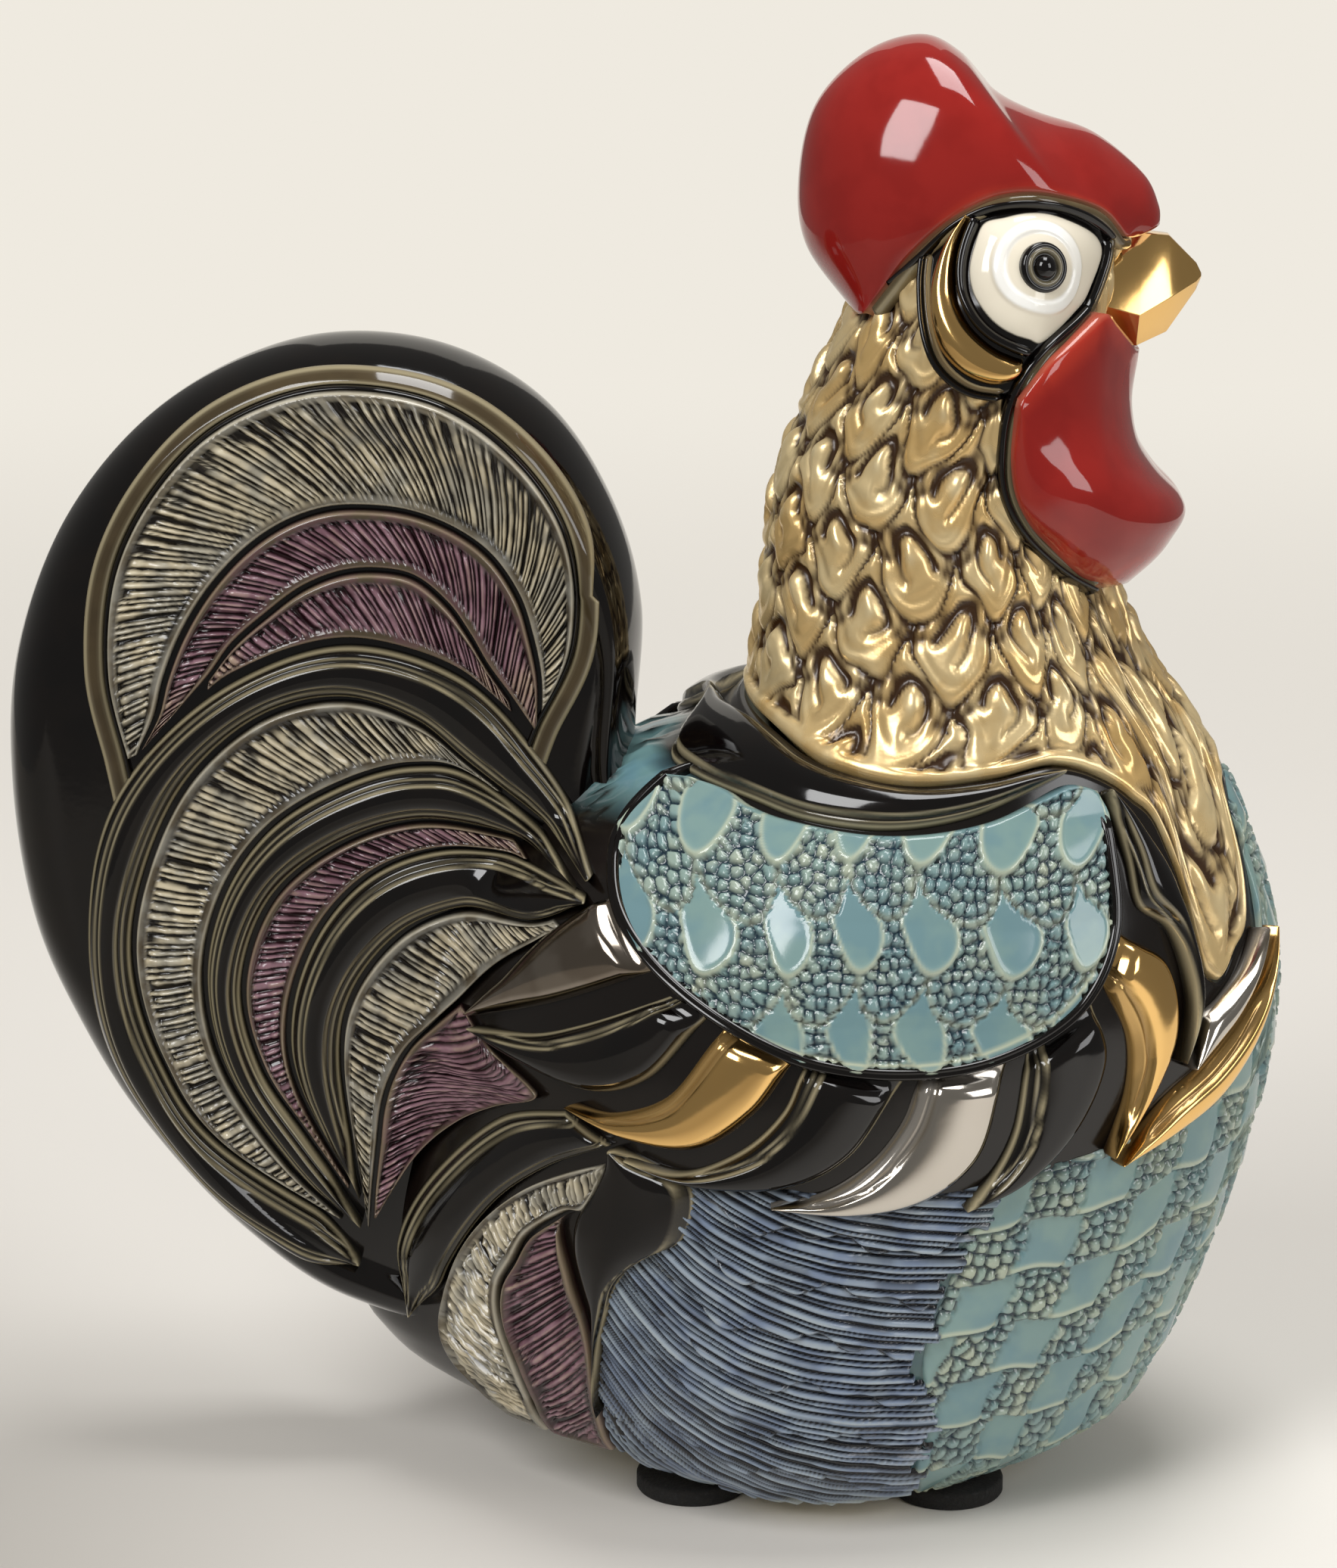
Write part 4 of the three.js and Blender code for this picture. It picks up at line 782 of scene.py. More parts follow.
tail = {
    "borderInner": [(-13.2, 94.6), (-8.6, 105), (-9, 118), (-15, 128), (-25, 134.8), (-38, 136.3), (-50, 132),
                    (-58.5, 124), (-64, 113.5), (-65.4, 101), (-63.3, 90)],
    "creamToPurple": [(-12.9, 95.4), (-12.8, 100.8), (-13.8, 106.2), (-15.3, 111), (-18.4, 115.7),
                      (-22.6, 118.9), (-27.8, 121), (-33, 121.7), (-38.2, 121.4), (-43.4, 119.5),
                      (-48.2, 116.1), (-52.6, 111.2), (-55.9, 105.8), (-58.1, 100.4), (-59.4, 95.5),
                      (-61.6, 91)],
    "purpleToPurple": [(-13.4, 94), (-16.5, 98.6), (-19.1, 102.3), (-21.2, 106.1), (-23.7, 109.8),
                       (-27.4, 113), (-31.5, 114), (-36.2, 113.7), (-41, 111.8), (-45.3, 108.6),
                       (-49.6, 104.8), (-52.9, 100.4), (-59, 94)],
    "overSickleA": [(-16, 96.3), (-22, 101.4), (-29, 104.3), (-36, 105.4), (-43, 104), (-50, 100.9),
                    (-53.2, 98.6)],
    "sickleAOuter": [(-5.5, 79.5), (-12.5, 91), (-22, 101), (-36, 105), (-50, 100.3), (-61.5, 90.5),
                     (-67.5, 79), (-69, 63), (-66, 49), (-56.5, 35.3), (-46, 27.5), (-36, 22.4)],
    "sickleAInner": [(-7, 78.5), (-20.8, 89.3), (-28, 95.3), (-37, 98), (-47, 95.3), (-56, 87), (-61.5, 75),
                     (-63, 64), (-60, 52), (-53, 41), (-35.2, 29)],
    "sickleBOuter": [(-7.5, 78), (-20, 88.3), (-28, 90), (-37, 87.5), (-46, 81.8), (-52, 73), (-54.4, 62),
                     (-52, 50), (-44, 37.5), (-35.2, 29)],
    "sickleBInner": [(-8, 78), (-17.5, 81.3), (-28, 82.7), (-38, 79.3), (-46, 72.3), (-49.6, 61.5),
                     (-47.5, 51), (-42, 42), (-35.6, 32.5)],
    "sickleCOuter": [(-6.5, 77.5), (-16, 79), (-25.5, 79.3), (-34, 75.8), (-40.5, 68.3), (-44, 58), (-43, 48),
                     (-35.8, 34)],
    "sickleCInner": [(-6.5, 76.5), (-13, 73), (-22, 71.9), (-30, 68.3), (-36, 60.5), (-37.5, 51),
                     (-35.2, 35)],
    "quillD": [(-5.6, 76), (-12.5, 71), (-17.9, 66.5), (-22.8, 60.6), (-26, 57), (-29.3, 53.6), (-31.5, 49.6),
               (-32.7, 45.6), (-33.3, 41), (-34, 35.3), (-34.6, 29.5)],
    "rumpEdge": [(-22, 60.2), (-18, 56.6), (-13, 54), (-12.4, 52.6), (-17.2, 50.2), (-22.5, 46.3),
                 (-28, 40.2), (-33.4, 31.4)],
    "sickleDOuter": [(-9, 52.3), (-17, 49), (-25.3, 40), (-30.5, 31), (-32.6, 21)],
    "sickleDInner": [(-2.8, 49.6), (-10.5, 45), (-17.8, 38), (-23.7, 28), (-26.4, 18.5)],
}
tail["purpleInner"] = [(-16.5, 98.2), *tail["purpleToPurple"][2:-1]]
tail["quillLow"] = [(-22.6, 60.6), *tail["quillD"][4:-1], (-34.3, 31)]
tailFields = [  # name, first line, second line, finish, node, shape
    ("vane_outer", "borderInner", "creamToPurple", "combedCream", "tail_vane_a", {"seed": 1}),
    ("vane_upper", "creamToPurple", "purpleToPurple", "combedPurple", "tail_vane_a", {"seed": 2, "tips": 9}),
    ("vane_lower", "purpleInner", "overSickleA", "combedPurple", "tail_vane_a", {"seed": 3, "tips": 7}),
    ("vane_second", "sickleAInner", "sickleBOuter", "combedCream", "tail_vane_b",
     {"seed": 4, "from": 0.12, "to": 0.97, "shear": -0.45}),
    ("vane_third", "sickleBInner", "sickleCOuter", "combedPurple", "tail_vane_c",
     {"seed": 5, "from": 0.1, "to": 0.97, "tips": 10, "shear": -0.35}),
    ("vane_fourth", "sickleCInner", "quillD", "combedCream", "tail_vane_d",
     {"seed": 6, "from": 0.08, "shear": -0.35}),
    ("vane_fifth", "quillLow", "rumpEdge", "combedPurple", "tail_vane_d", {"seed": 7, "shear": -0.5}),
]
for label, first, second, finish, node, shape in tailFields:
    vane(label, tail[first], tail[second], onFan, finish, [node], shape)
for letter in "abcd":
    first, second = tail[f"sickle{letter.upper()}Outer"], tail[f"sickle{letter.upper()}Inner"]
    feather(f"sickle_{letter}", first, second, onFan, "blackGlaze", [f"tail_sickle_{letter}"],
            {"height": 3.2, "band": 1.7, "secondBand": 1.5, "radius": 1.2, "crown": 1.3, "taper": 8})
print("fan tail")


# Flank feathers

onFlank = onBody
wing = [
    ("thigh_feather", "blackGlaze",
     [(114.2, 49.6), (116, 44), (118, 39.5), (117.6, 35.5), (115.6, 31.2), (113.8, 27.5), (113.4, 22),
      (114.2, 15)],
     [(113, 49.8), (107.5, 48.6), (102.6, 47.2), (101.4, 43.5), (102.6, 39.5), (106.5, 37), (109.8, 34),
      (111.2, 30), (112.2, 26), (113, 21), (113.8, 15)], {"band": 0, "secondBand": 1.4}),
    # The first silver wing feather takes the silver's darker second colour: a painted reflection of the dark.
    ("wing_silver_1", "silverLustre", [(142, 60.4), (134, 69.4), (126.5, 76.4)],
     [(141, 59.8), (128, 64), (115.5, 69.5)], {"band": 0, "tone": 1.0}),
    ("wing_black_2", "blackGlaze", [(141, 59), (130, 60.5), (122, 63.2), (113.5, 67)],
     [(140, 58.3), (129, 56), (118, 55.3), (110, 58.5), (105, 65)], {}),
    ("wing_gold_3", "goldLustre", [(121, 53.8), (115, 53.8), (107.5, 57.2), (103, 64)],
     [(120.5, 53), (111, 50.6), (102, 51), (95, 56), (91.5, 61.5)], {}),
    ("wing_black_4", "blackGlaze", [(111.5, 49.3), (104, 48.5), (96.5, 52), (92, 56.5), (90.5, 60.8)],
     [(111, 48.3), (101, 46.6), (90, 46.9), (83, 50.8), (79, 58)], {}),
    ("wing_silver_5", "silverLustre", [(92, 45.8), (86, 46.8), (81, 50.4), (78, 55), (77, 59)],
     [(91.5, 45), (81, 43.6), (73, 45.3), (67.5, 50.5), (66, 59.6)], {}),
    ("wing_black_6", "blackGlaze", [(69.5, 44.8), (66.4, 48), (64.4, 53), (64, 60)],
     [(69, 44), (61, 46.7), (55, 53), (52.3, 61), (54.5, 66.6)], {}),
    ("wing_gold_7", "goldLustre", [(51, 49), (49.2, 56), (49.8, 62.5), (53, 68)],
     [(50.4, 48.4), (45, 55.5), (41.3, 63), (43, 71), (49.5, 74.6)], {}),
    ("wing_black_8", "blackGlaze", [(41.5, 59), (39.8, 66), (42.5, 74), (48, 77.5), (50.3, 83), (55.5, 90)],
     [(40.9, 58.5), (37.4, 66), (38, 73), (41, 81.5), (48, 87.4), (55, 90.9)], {}),
    ("chest_silver", "silverLustre", [(39.6, 58), (37, 63), (32.5, 65), (26, 67.8), (20.5, 71.3)],
     [(39, 57.4), (33, 59.6), (27, 63.5), (22, 68), (19.6, 70.8)], {"band": 0}),
    ("chest_gold", "goldLustre", [(49.5, 48), (42, 54.4), (35, 57.6), (27, 61.8), (20.5, 66.4), (16.8, 71)],
     [(49, 47.2), (39, 49.3), (30, 53), (22, 60.2), (16.2, 70)], {}),
]
for name, finish, first, second, shape in wing:
    if name.startswith("wing") and name != "wing_black_8":
        first, second, shape = runOn(first, 2.6), runOn(second, 2.6), {**shape, "tuck": True}
    feather(name, first, second, onFlank, finish, [name], shape)

rump = {
    "outer": [(115, 47.6), (121, 45), (127.5, 41), (133.5, 35), (138, 27.5), (141, 19), (137, 8.5)],
    "quill": [(114.6, 46), (116, 41), (119, 40), (124, 36), (126, 32), (128, 28), (128, 23), (126, 18),
              (126, 14), (129, 8)],
    "inner": [(113.8, 47), (117.5, 41.5), (119.5, 38), (116.8, 32), (114, 25), (114, 16), (117, 8)],
}
vane("rump_outer", rump["outer"], rump["quill"], onFlank, "combedCream", ["rump_vane"],
     {"seed": 8, "shear": 0.4})
vane("rump_inner", rump["quill"], rump["inner"], onFlank, "combedPurple", ["rump_vane"],
     {"seed": 9, "from": 0.2})

collarAngles = np.array([65, 72, 82, 94, 108, 122, 138, 156, 178.5])
feather("collar", list(zip(collarAngles, form["cape"](collarAngles) - 0.4)),
        list(zip(collarAngles, form["collar"](collarAngles))), onFlank, "blackGlaze", ["collar"],
        {"height": 2.6, "band": 0, "secondBand": 1.1, "step": 0.9, "taper": 14})
print("feathers")


# Covert, breast and combed flank

covert = {
    "upper": [(142, 89.4), (135, 90), (127, 89.7), (119, 88.6), (110, 87.8), (93, 87.1), (78, 88.4),
              (65, 91.8), (57, 90.9)],
    "lower": [(142.3, 89), (129, 80.4), (119, 74), (106, 67.4), (92, 62.2), (80, 60.2), (68, 61.2),
              (57, 66.4), (51.4, 75.5), (53, 85), (56.3, 89.8)],
    "across": 8.5, "down": 5.6, "point": 1.8, "pebble": 1.4, "height": 1.9, "sunk": -0.4, "rim": 1.0,
}


def makeCovert():
    # Tongues in staggered rows, a row of smooth ones and a row of ones filled with round grains by turns.
    r = ribbon(covert["upper"], covert["lower"], onFlank, {"step": 0.33, "columns": 92, "gap": 0.2})
    skin = onFlank(r["u"], r["v"], 0)
    x, z = skin[..., 0], skin[..., 2]
    wavy = x + 0.6 * np.sin(x * 0.21 + 1) + 0.8 * np.sin(z * 0.4)
    scale = roofScales(wavy, z + 1.2 + 0.7 * np.sin(x * 0.17), covert["across"], covert["down"], 1.7)
    rim, side, fall, _, column, row = scale.values()
    grain, number = pebbles(x, z, covert["pebble"])
    aside = np.abs(side) / (0.62 + 0.12 * scatter(column, row))
    power = covert["point"]
    shield = np.where(fall > 0, (aside ** power + fall.clip(0) ** power) ** (1 / power),
                      aside - 0.5 * fall.clip(-0.5, 0))
    grainRow = np.mod(row, 2) > 0.5
    filled = np.where((grainRow | (shield > 1)) & (r["edge"] >= covert["rim"]), 1.0, 0.0)
    own = np.where(grainRow, rim, shield)
    grains = 0.6 * smoothStep(grain, 0.04, 0.42) - 0.1
    tongue = 0.25 + 0.5 * np.clip(fall, 0, 1) * (1 - 0.5 * side ** 2) + 0.12 * line(own - 0.9, 0.08)
    relief = mix(tongue, grains, filled) - 0.3 * line(rim - 1, 0.06)
    lift = covert["sunk"] + covert["height"] * quarterRound(r["edge"], covert["rim"])
    lift = lift + relief * smoothStep(r["edge"], 0.2, 0.9)
    bare = line(own - 0.93, 0.07) * 0.7 * (1 - filled * 0.5)
    lowerLine = line(r["width"] - r["across"] - 2.05, 0.25) * 0.85
    layers = {
        "groove": np.maximum(filled * (1 - smoothStep(grain, 0.06, 0.36)), 0.8 * line(rim - 1.02, 0.05)),
        "thin": np.maximum(bare, lowerLine),
        "tone": filled * (0.1 + 0.9 * number ** 1.5),
        "cell": scatter(column, row, 5) * (1 - filled) + 0.5 * filled * scatter(number * 99, row),
    }
    addBoth("covert_scales", closedSheet(onFlank(r["u"], r["v"], lift), layers), "blueGlaze", ["covert"])


breast = {
    "top": lineThrough((0, 88.5), (10, 86.5), (14, 84), (17, 76), (20, 67), (27, 61), (35, 56), (43, 52),
                       (50, 49.5), (62, 48), (75, 47)),
    "side": lineThrough((0, 62), (6, 70), (14, 69), (24, 71), (34, 69), (42, 67), (50, 60), (60, 45),
                        (90, 30)),
    "rows": 210, "columns": 380, "low": 0.3, "pebble": 1.7, "sunk": -0.6,
}


def makeBreast():
    # Courses of tiles that climb towards the front, each course's lower edge standing over the next; smooth
    # tiles and ones filled with grains by turns. The field's sides and top depend on each other, so a few
    # rounds settle them.
    share = np.linspace(0, 1, breast["rows"])[:, None]
    across = np.linspace(-1, 1, breast["columns"])[None]
    angle = across * 66
    for _ in range(4):
        height = mix(breast["low"], breast["top"](np.abs(angle)), share)
        angle = across * breast["side"](height)
    run = lengthAlong(onBody(angle, height)[..., :2], 1)
    middle = breast["columns"] // 2
    arc = run - run[:, middle - 1:middle + 1].mean(axis=1, keepdims=True)
    steps = latticeSteps(angle)
    course = tileRow(angle, height) + 0.07 * np.sin(steps * 2.2 + 1) + 0.04 * np.sin(steps * 5)
    row = np.floor(course)
    rise = course - row
    steps = steps + 0.28 * (rise - 0.5) + 0.12 * (scatter(row, 1) - 0.5) + 0.05 * np.sin(rise * 6 + row)
    column = np.round(steps)
    along = steps - column
    filled = np.where(np.mod(column + row, 2) > 0.5, 1.0, 0.0)
    grain, number = pebbles(np.abs(arc) * np.sign(angle) + 3 * row, height, breast["pebble"])
    ledge = smoothStep(rise, 0, 0.09) * mix(1.0, 0.08, rise)
    tile = (0.95 - 0.25 * (along * 2) ** 2) * ledge * (1 - 0.55 * line(0.5 - np.abs(along), 0.05))
    grains = 0.7 * smoothStep(grain, 0.04, 0.45) * smoothStep(rise, 0, 0.08) + 0.12 * (1 - rise)
    fromSide = np.minimum(run, run[:, -1:] - run)
    edge = np.minimum(fromSide, np.minimum(height - breast["low"], (1 - share) * 40))
    lift = breast["sunk"] + (mix(tile, grains, filled) - breast["sunk"]) * quarterRound(edge, 0.8)
    layers = {
        "groove": np.maximum(filled * (1 - smoothStep(grain, 0.05, 0.32)), 0.75 * line(rise, 0.05)),
        "thin": (1 - filled) * line(rise - 0.12, 0.05) * 0.7 + (1 - smoothStep(height, 0.8, 2.0)) * 0.8,
        "tone": filled * (0.25 + 0.75 * number),
        "cell": scatter(column, row, 5) * (1 - filled),
    }
    addPiece("breast_tiles", closedSheet(onBody(angle, height, lift), layers), "blueGlaze", ["body_shell"])


flank = {
    "top": [(122, 44), (112, 47), (100, 48.5), (80, 46), (66, 47), (56, 51)],
    "foot": [(124, 0.3), (112, 0.3), (96, 0.3), (80, 0.3), (64, 0.3)],
    "steep": 1.35, "fades": 15, "from": -3, "pitch": 1.0, "layer": 6.8,
    "ridge": 0.8, "ledge": 0.75, "sunk": -0.6, "hidden": -2.4,
    "thigh": lineThrough((0, 117.8), (8, 116.8), (16, 114), (25, 113.5), (47, 113.5)),
}


def makeFlank():
    # Combed strokes that start steep by the thigh and run out level: their depth is how far they lie down,
    # plus an exponential of the distance from the thigh. They lie in layers with ragged edges over one another.
    r = ribbon(flank["top"], flank["foot"], onFlank, {"step": 0.22, "columns": 325, "gap": 0.1})
    skin = onFlank(r["u"], r["v"], 0)
    x, z, edge = skin[..., 0] - flank["from"], skin[..., 2], r["edge"]
    depth = 47 - z + flank["steep"] * flank["fades"] * np.exp(-x / flank["fades"]) + 0.0022 * (x - 34) ** 2
    ragged = 0.8 * np.sin(x * 0.31 + 0.5 * np.sin(depth * 0.3)) + 0.5 * np.sin(x * 0.9 + depth * 0.2)
    place = (depth + (ragged + 0.09 * x) * 1.3) / flank["layer"]
    layer = np.floor(place)
    within = place - layer
    stroke = depth + x * 0.16 * (scatter(layer, 3) - 0.5) + 2 * scatter(layer, 9)
    strand = np.round(stroke / flank["pitch"])
    ridge = ripple(x * 0.45, stroke, flank["pitch"], 2)
    ridge = ridge * mix(0.8, 1, smoothStep(np.sin(x * 0.5 + 9 * scatter(strand, layer)), -0.6, 0))
    ledge = smoothStep(1 - within, 0, 0.07) * within
    lift = flank["sunk"] * (1 - quarterRound(edge, 0.5))
    lift = lift + (flank["ridge"] * ridge + flank["ledge"] * ledge) * smoothStep(edge, 0.2, 0.8)
    # Strokes end by turns beside the breast's tiles and at the thigh, and run on hidden in the body.
    meets = breast["side"](z) - 2.5 + 3.5 * scatter(strand, 4) + 2 * scatter(layer, 5)
    lift = lift + flank["hidden"] * smoothStep(meets - r["u"], 0, 1.2)
    lift = lift + flank["hidden"] * smoothStep(r["u"] - flank["thigh"](z), 0, 1)
    near = smoothStep(skin[..., 0], 36, 54)
    groove = (1 - smoothStep(ridge, 0.3, 0.82)) * mix(1, 0.85, near)
    layers = {"groove": np.maximum(groove, line(1 - within, 0.06)),
              "thin": smoothStep(ridge, 0.75, 1) * 0.4 + (1 - smoothStep(z, 0.8, 2.2)) * 0.7,
              "tone": near, "cell": scatter(layer, 7)}
    addBoth("flank_combing", closedSheet(onFlank(r["u"], r["v"], lift), layers), "combedBlue", [])


makeCovert()
makeBreast()
makeFlank()
print("covert, breast and flank")


# Head

head = {
    "combFoot": [(149, 145), (141, 150), (133, 153.2), (122.8, 156), (111, 158), (98.5, 159.1), (82.5, 159.4),
                 (66, 158.7), (52, 157.6), (44, 156.5), (38, 155.2), (31, 154), (20, 153.7)],
    "combRidge": [(24.5, 144.7), (19, 152), (18, 160), (20, 168.8), (25.8, 174.9), (32.3, 177), (37, 175),
                  (41, 170.6), (46, 168), (53, 165.6), (59, 160.8), (61, 157), (61.2, 154.8)],
    "combLip": (-0.5, 0.2, 0.7, 1.1, 1.4, 1.6),    # heights above the skin, from the foot up
    "combLipThin": [0.8, 0.8, 0.8, 0.72, 0.4, 0.12],
    "wattleFoot": lineThrough((0, 111), (34, 113), (48, 115), (60, 119), (69, 122.5), (76, 127), (81, 132),
                              (84, 136.5)),
    "wattleTop": lineThrough((0, 140.2), (15, 140.8), (30, 142.8), (42, 144.9), (49, 146.2), (58, 145),
                             (66, 143.4), (76, 141), (84, 137.5)),
    "wattleFront": lineThrough((110.4, 58), (112.7, 62.2), (115.4, 64.4), (118.1, 65.4), (121.1, 64.5),
                               (124.4, 61.8), (128.4, 59.4), (132.7, 58.5), (140.2, 59.2)),
    "wattleSide": 84, "wattleEdge": 2, "wattleSwell": 2.6,
    "beakCentre": (57.3, 0, 147.1), "beakReach": 9, "beakRise": 6.8, "beakSpread": 6.4, "beakBevel": 0.8,
    # Each section's place along the beak, heights of ridge, crease and chin, and half width, in shares.
    "beakSections": [(-0.8, 1, 0, -1, 1.2), (0.15, 1, -0.36, -1, 1), (0.55, 0.94, -0.1, -0.76, 0.68),
                     (0.93, 0.44, 0.14, -0.04, 0.2), (1, 0.26, 0.22, 0.18, 0.06)],
    "eye": [(106.8, 156.6), (97.5, 157.3), (86.5, 157.8), (75.2, 157.6), (62, 156.4), (50.5, 154.8),
            (45.2, 153), (46.2, 151.1), (49.5, 149.3), (53.2, 147.5), (59.8, 146.1), (68, 144.5),
            (76, 143.3), (81.8, 143.8), (90.2, 144.5), (97.2, 145.8), (103.5, 147.7), (107.5, 149.5),
            (109.8, 151.8), (109.2, 154.3)],
    "eyeCentre": (79, 151), "pupilCentre": (79.3, 151.9), "pupilLift": 0.2,
    # The pupil's profile as (radius, height): a bead, a ring and a thin ring.
    "pupil": [(0, 2.5), (0.5, 2.42), (0.9, 2.2), (1.2, 1.9), (1.4, 1.45), (1.5, 1.2), (1.62, 1.3),
              (1.8, 1.55), (2.05, 1.6), (2.2, 1.5), (2.3, 1.35), (2.42, 1.45), (2.6, 1.5), (2.8, 1.4),
              (2.95, 1.1), (3.0, 0.5)],
    "cheekInner": [(111, 156.6), (113.6, 154.2), (113.8, 151.6), (111.2, 148.7), (105.8, 146.2), (99, 144.3),
                   (91.8, 142.9), (82.5, 142)],
    "cheekOuter": [(114, 156.8), (122.6, 154), (125.2, 150.2), (122.6, 146.5), (116.4, 143), (109.6, 140.7),
                   (101.4, 139), (92.5, 138.3), (84.5, 139.3)],
    "eyeBack": [(109.5, 157.4), (112, 154.4), (112.2, 151.7), (109.8, 149), (104.9, 146.7), (98.4, 144.8),
                (91.2, 143.5), (83, 142.6), (78, 142.4)],
    "eyeFront": [(78, 142.4), (68, 143.6), (59, 145.2), (52.2, 146.8), (48, 148.7), (44.4, 151), (43.4, 153),
                 (44.5, 154.8)],
    "cheekBelow": [(131, 153.4), (128.5, 149.6), (122.5, 145.2), (115, 141.4), (107, 139), (98.5, 137.6),
                   (87, 137.2)],
    "brow": [(146, 148.2), (138, 150.6), (131, 152.7), (121.2, 155.6), (111.8, 157.2), (101.5, 158.1),
             (86.5, 158.5), (71, 158.1), (57, 156.9), (45.2, 155.1), (38.5, 153.6)],
    "wattleBack": [(50, 147.2), (58.8, 145.6), (70.8, 143.7), (80.2, 141.1), (85, 138), (85.6, 134.6),
                   (82.8, 130.4), (78.5, 126.2), (72, 122.2), (64, 118.8), (51.2, 115), (37, 112.2)],
}


def makeComb():
    # Half an ellipse from the foot line on one side over the ridge to the other side, at each step along.
    along = np.linspace(0, 1, 150)
    foot = curveThrough(head["combFoot"])(along)
    ridge = curveThrough(head["combRidge"])(along)
    lip = np.stack([onBody(*foot.T, lift) for lift in head["combLip"]], 1)
    edge = lip[:, -1]
    arc = np.linspace(0, np.pi, 81)[1:-1]
    rise = np.sin(arc)
    x = mix(edge[:, :1], ridge[:, :1], rise)
    z = mix(edge[:, 2:], ridge[:, 1:], rise)
    over = np.stack([x, edge[:, 1:2] * np.cos(arc), z], -1)
    grid = np.concatenate([lip, over, lip[:, ::-1] * [1, -1, 1]], 1)
    none = np.zeros(lip.shape[1])
    height = np.concatenate([none, rise, none])
    layers = {"thin": np.concatenate([head["combLipThin"], 0 * rise, head["combLipThin"][::-1]]),
              "tone": smoothStep(rise.max() - height, 0.9, 1.0)}
    addPiece("comb_red", closedSheet(grid, layers), "redGlaze", ["comb"])


def makeWattle():
    # Round the throat from side to side: the front stands out to its silhouette, the sides are padded.
    angle = np.linspace(-head["wattleSide"], head["wattleSide"], 150)[:, None]
    share = np.concatenate([[0, 0, 0], np.linspace(0, 1, 60), [1, 1, 1]])[None]
    around = np.abs(angle)
    foot, top = head["wattleFoot"](around), head["wattleTop"](around)
    front = mix(head["wattleFoot"](0), head["wattleTop"](0), share)
    frontLift = head["wattleFront"](front) - form["breast"](front)
    swell = np.sqrt(np.sin(np.pi * share).clip(0)) * (1 - 0.6 * smoothStep(around, 50, head["wattleSide"]))
    pad = head["wattleEdge"] + head["wattleSwell"] * swell
    lift = np.maximum(mix(pad, frontLift, np.cos(np.radians(around)) ** 1.5), 0.9)
    lip = np.array([-0.5, 0.0, 0.35] + [1] * 60 + [0.35, 0.0, -0.5])[None]
    lift = np.where(lip < 1, np.minimum(lip * lift * 2, lift), lift)
    fromEdge = np.minimum(share, 1 - share) * (top - foot)
    layers = {"thin": (1 - smoothStep(fromEdge, 0.0, 0.3)) * mix(0.85, 0.2, smoothStep(lip, 0, 0.35)),
              "tone": 1 - smoothStep(fromEdge, 1.0, 4.0)}
    grid = onBody(angle, mix(foot, top, share), lift)
    addPiece("wattle_red", closedSheet(grid, layers), "redGlaze", ["wattle"])


def makeBeak():
    # Six-sided sections: a flat ridge, a crease along each side and a flat chin. A bevel rounds the edges.
    along, ridge, crease, chin, half = np.array(head["beakSections"]).T
    aside = np.array([0.28, 1, 0.28, -0.28, -1, -0.28])
    up = np.stack([ridge, crease, chin, chin, crease, ridge], 1)
    grid = np.stack([head["beakReach"] * along[:, None] + 0 * up, head["beakSpread"] * half[:, None] * aside,
                     head["beakRise"] * up], -1) + head["beakCentre"]
    piece = addPiece("beak_gold", closedSheet(grid, {"groove": 0.0}), "goldLustre", ["beak"])
    bevel = piece.modifiers.new("softEdges", "BEVEL")
    bevel.width, bevel.segments = head["beakBevel"] / 1000, 4


def patchOn(outline, centre, radial, count):
    # Points between a centre and a closed outline, by share of the way out.
    ring = curveThrough(outline, closed=True)(np.linspace(0, 1, count, endpoint=False))
    return mix(centre[0], ring[:, :1], radial), mix(centre[1], ring[:, 1:], radial)


def makeEye():
    # A shallow white dome with a raised ring round the pupil; the ring is painted whiter as a highlight.
    radial = np.concatenate([np.linspace(0, 0.96, 56), [0.985, 1.0]])[None]
    u, v = patchOn(head["eye"], head["eyeCentre"], radial, 200)
    away = np.linalg.norm(onBody(u, v) - onBody(*head["pupilCentre"]), axis=-1)
    lift = 0.4 + 1.0 * np.sqrt((1 - radial ** 2).clip(0))
    lift = lift + 0.25 * smoothStep(away, 3.7, 4.2) * (1 - smoothStep(away, 5.0, 5.6))
    lift = np.where(radial >= 0.999, -0.4, lift)
    # tone: the ring's whiter glaze, a painted highlight.
    layers = {"tone": smoothStep(away, 3.5, 3.9) * (1 - smoothStep(away, 5.0, 5.4)),
              "groove": smoothStep(radial, 0.97, 0.99)}
    addBoth("eye_white", closedDisc(onBody(u, v, lift), layers), "whiteGlaze", ["eye"])


def turned(centre, axis, profile, count):
    # A profile of (radius, height) turned round an axis through the centre.
    axis = axis / np.linalg.norm(axis)
    side = np.cross(axis, [0, 0, 1.0]) if abs(axis[2]) < 0.9 else np.array([1.0, 0, 0])
    side /= np.linalg.norm(side)
    up = np.cross(side, axis)
    t = np.linspace(0, 2 * np.pi, count, endpoint=False)[:, None, None]
    radius, height = np.array(profile).T[:, None, :, None]
    return centre + radius * (np.cos(t) * side + np.sin(t) * up) + height * axis


def makePupil():
    # A black bead inside a grey ring inside a black ring.
    place = onBody(*head["pupilCentre"])
    axis = onBody(*head["pupilCentre"], 1.0) - place
    grid = turned(place + head["pupilLift"] * axis, axis, head["pupil"], 64)
    radius = np.array(head["pupil"])[:, 0]
    ring = smoothStep(radius, 1.5, 1.75) * (1 - smoothStep(radius, 2.15, 2.35))
    addBoth("pupil_bead", closedDisc(grid, {"thin": ring * 0.35}), "blackGlaze", ["pupil"])


trimShape = {"offset": 0, "half": 0.5, "height": 0.7, "base": -0.3, "step": 0.7, "crease": 0, "thin": 0,
             "tone": 0, "ends": 3}


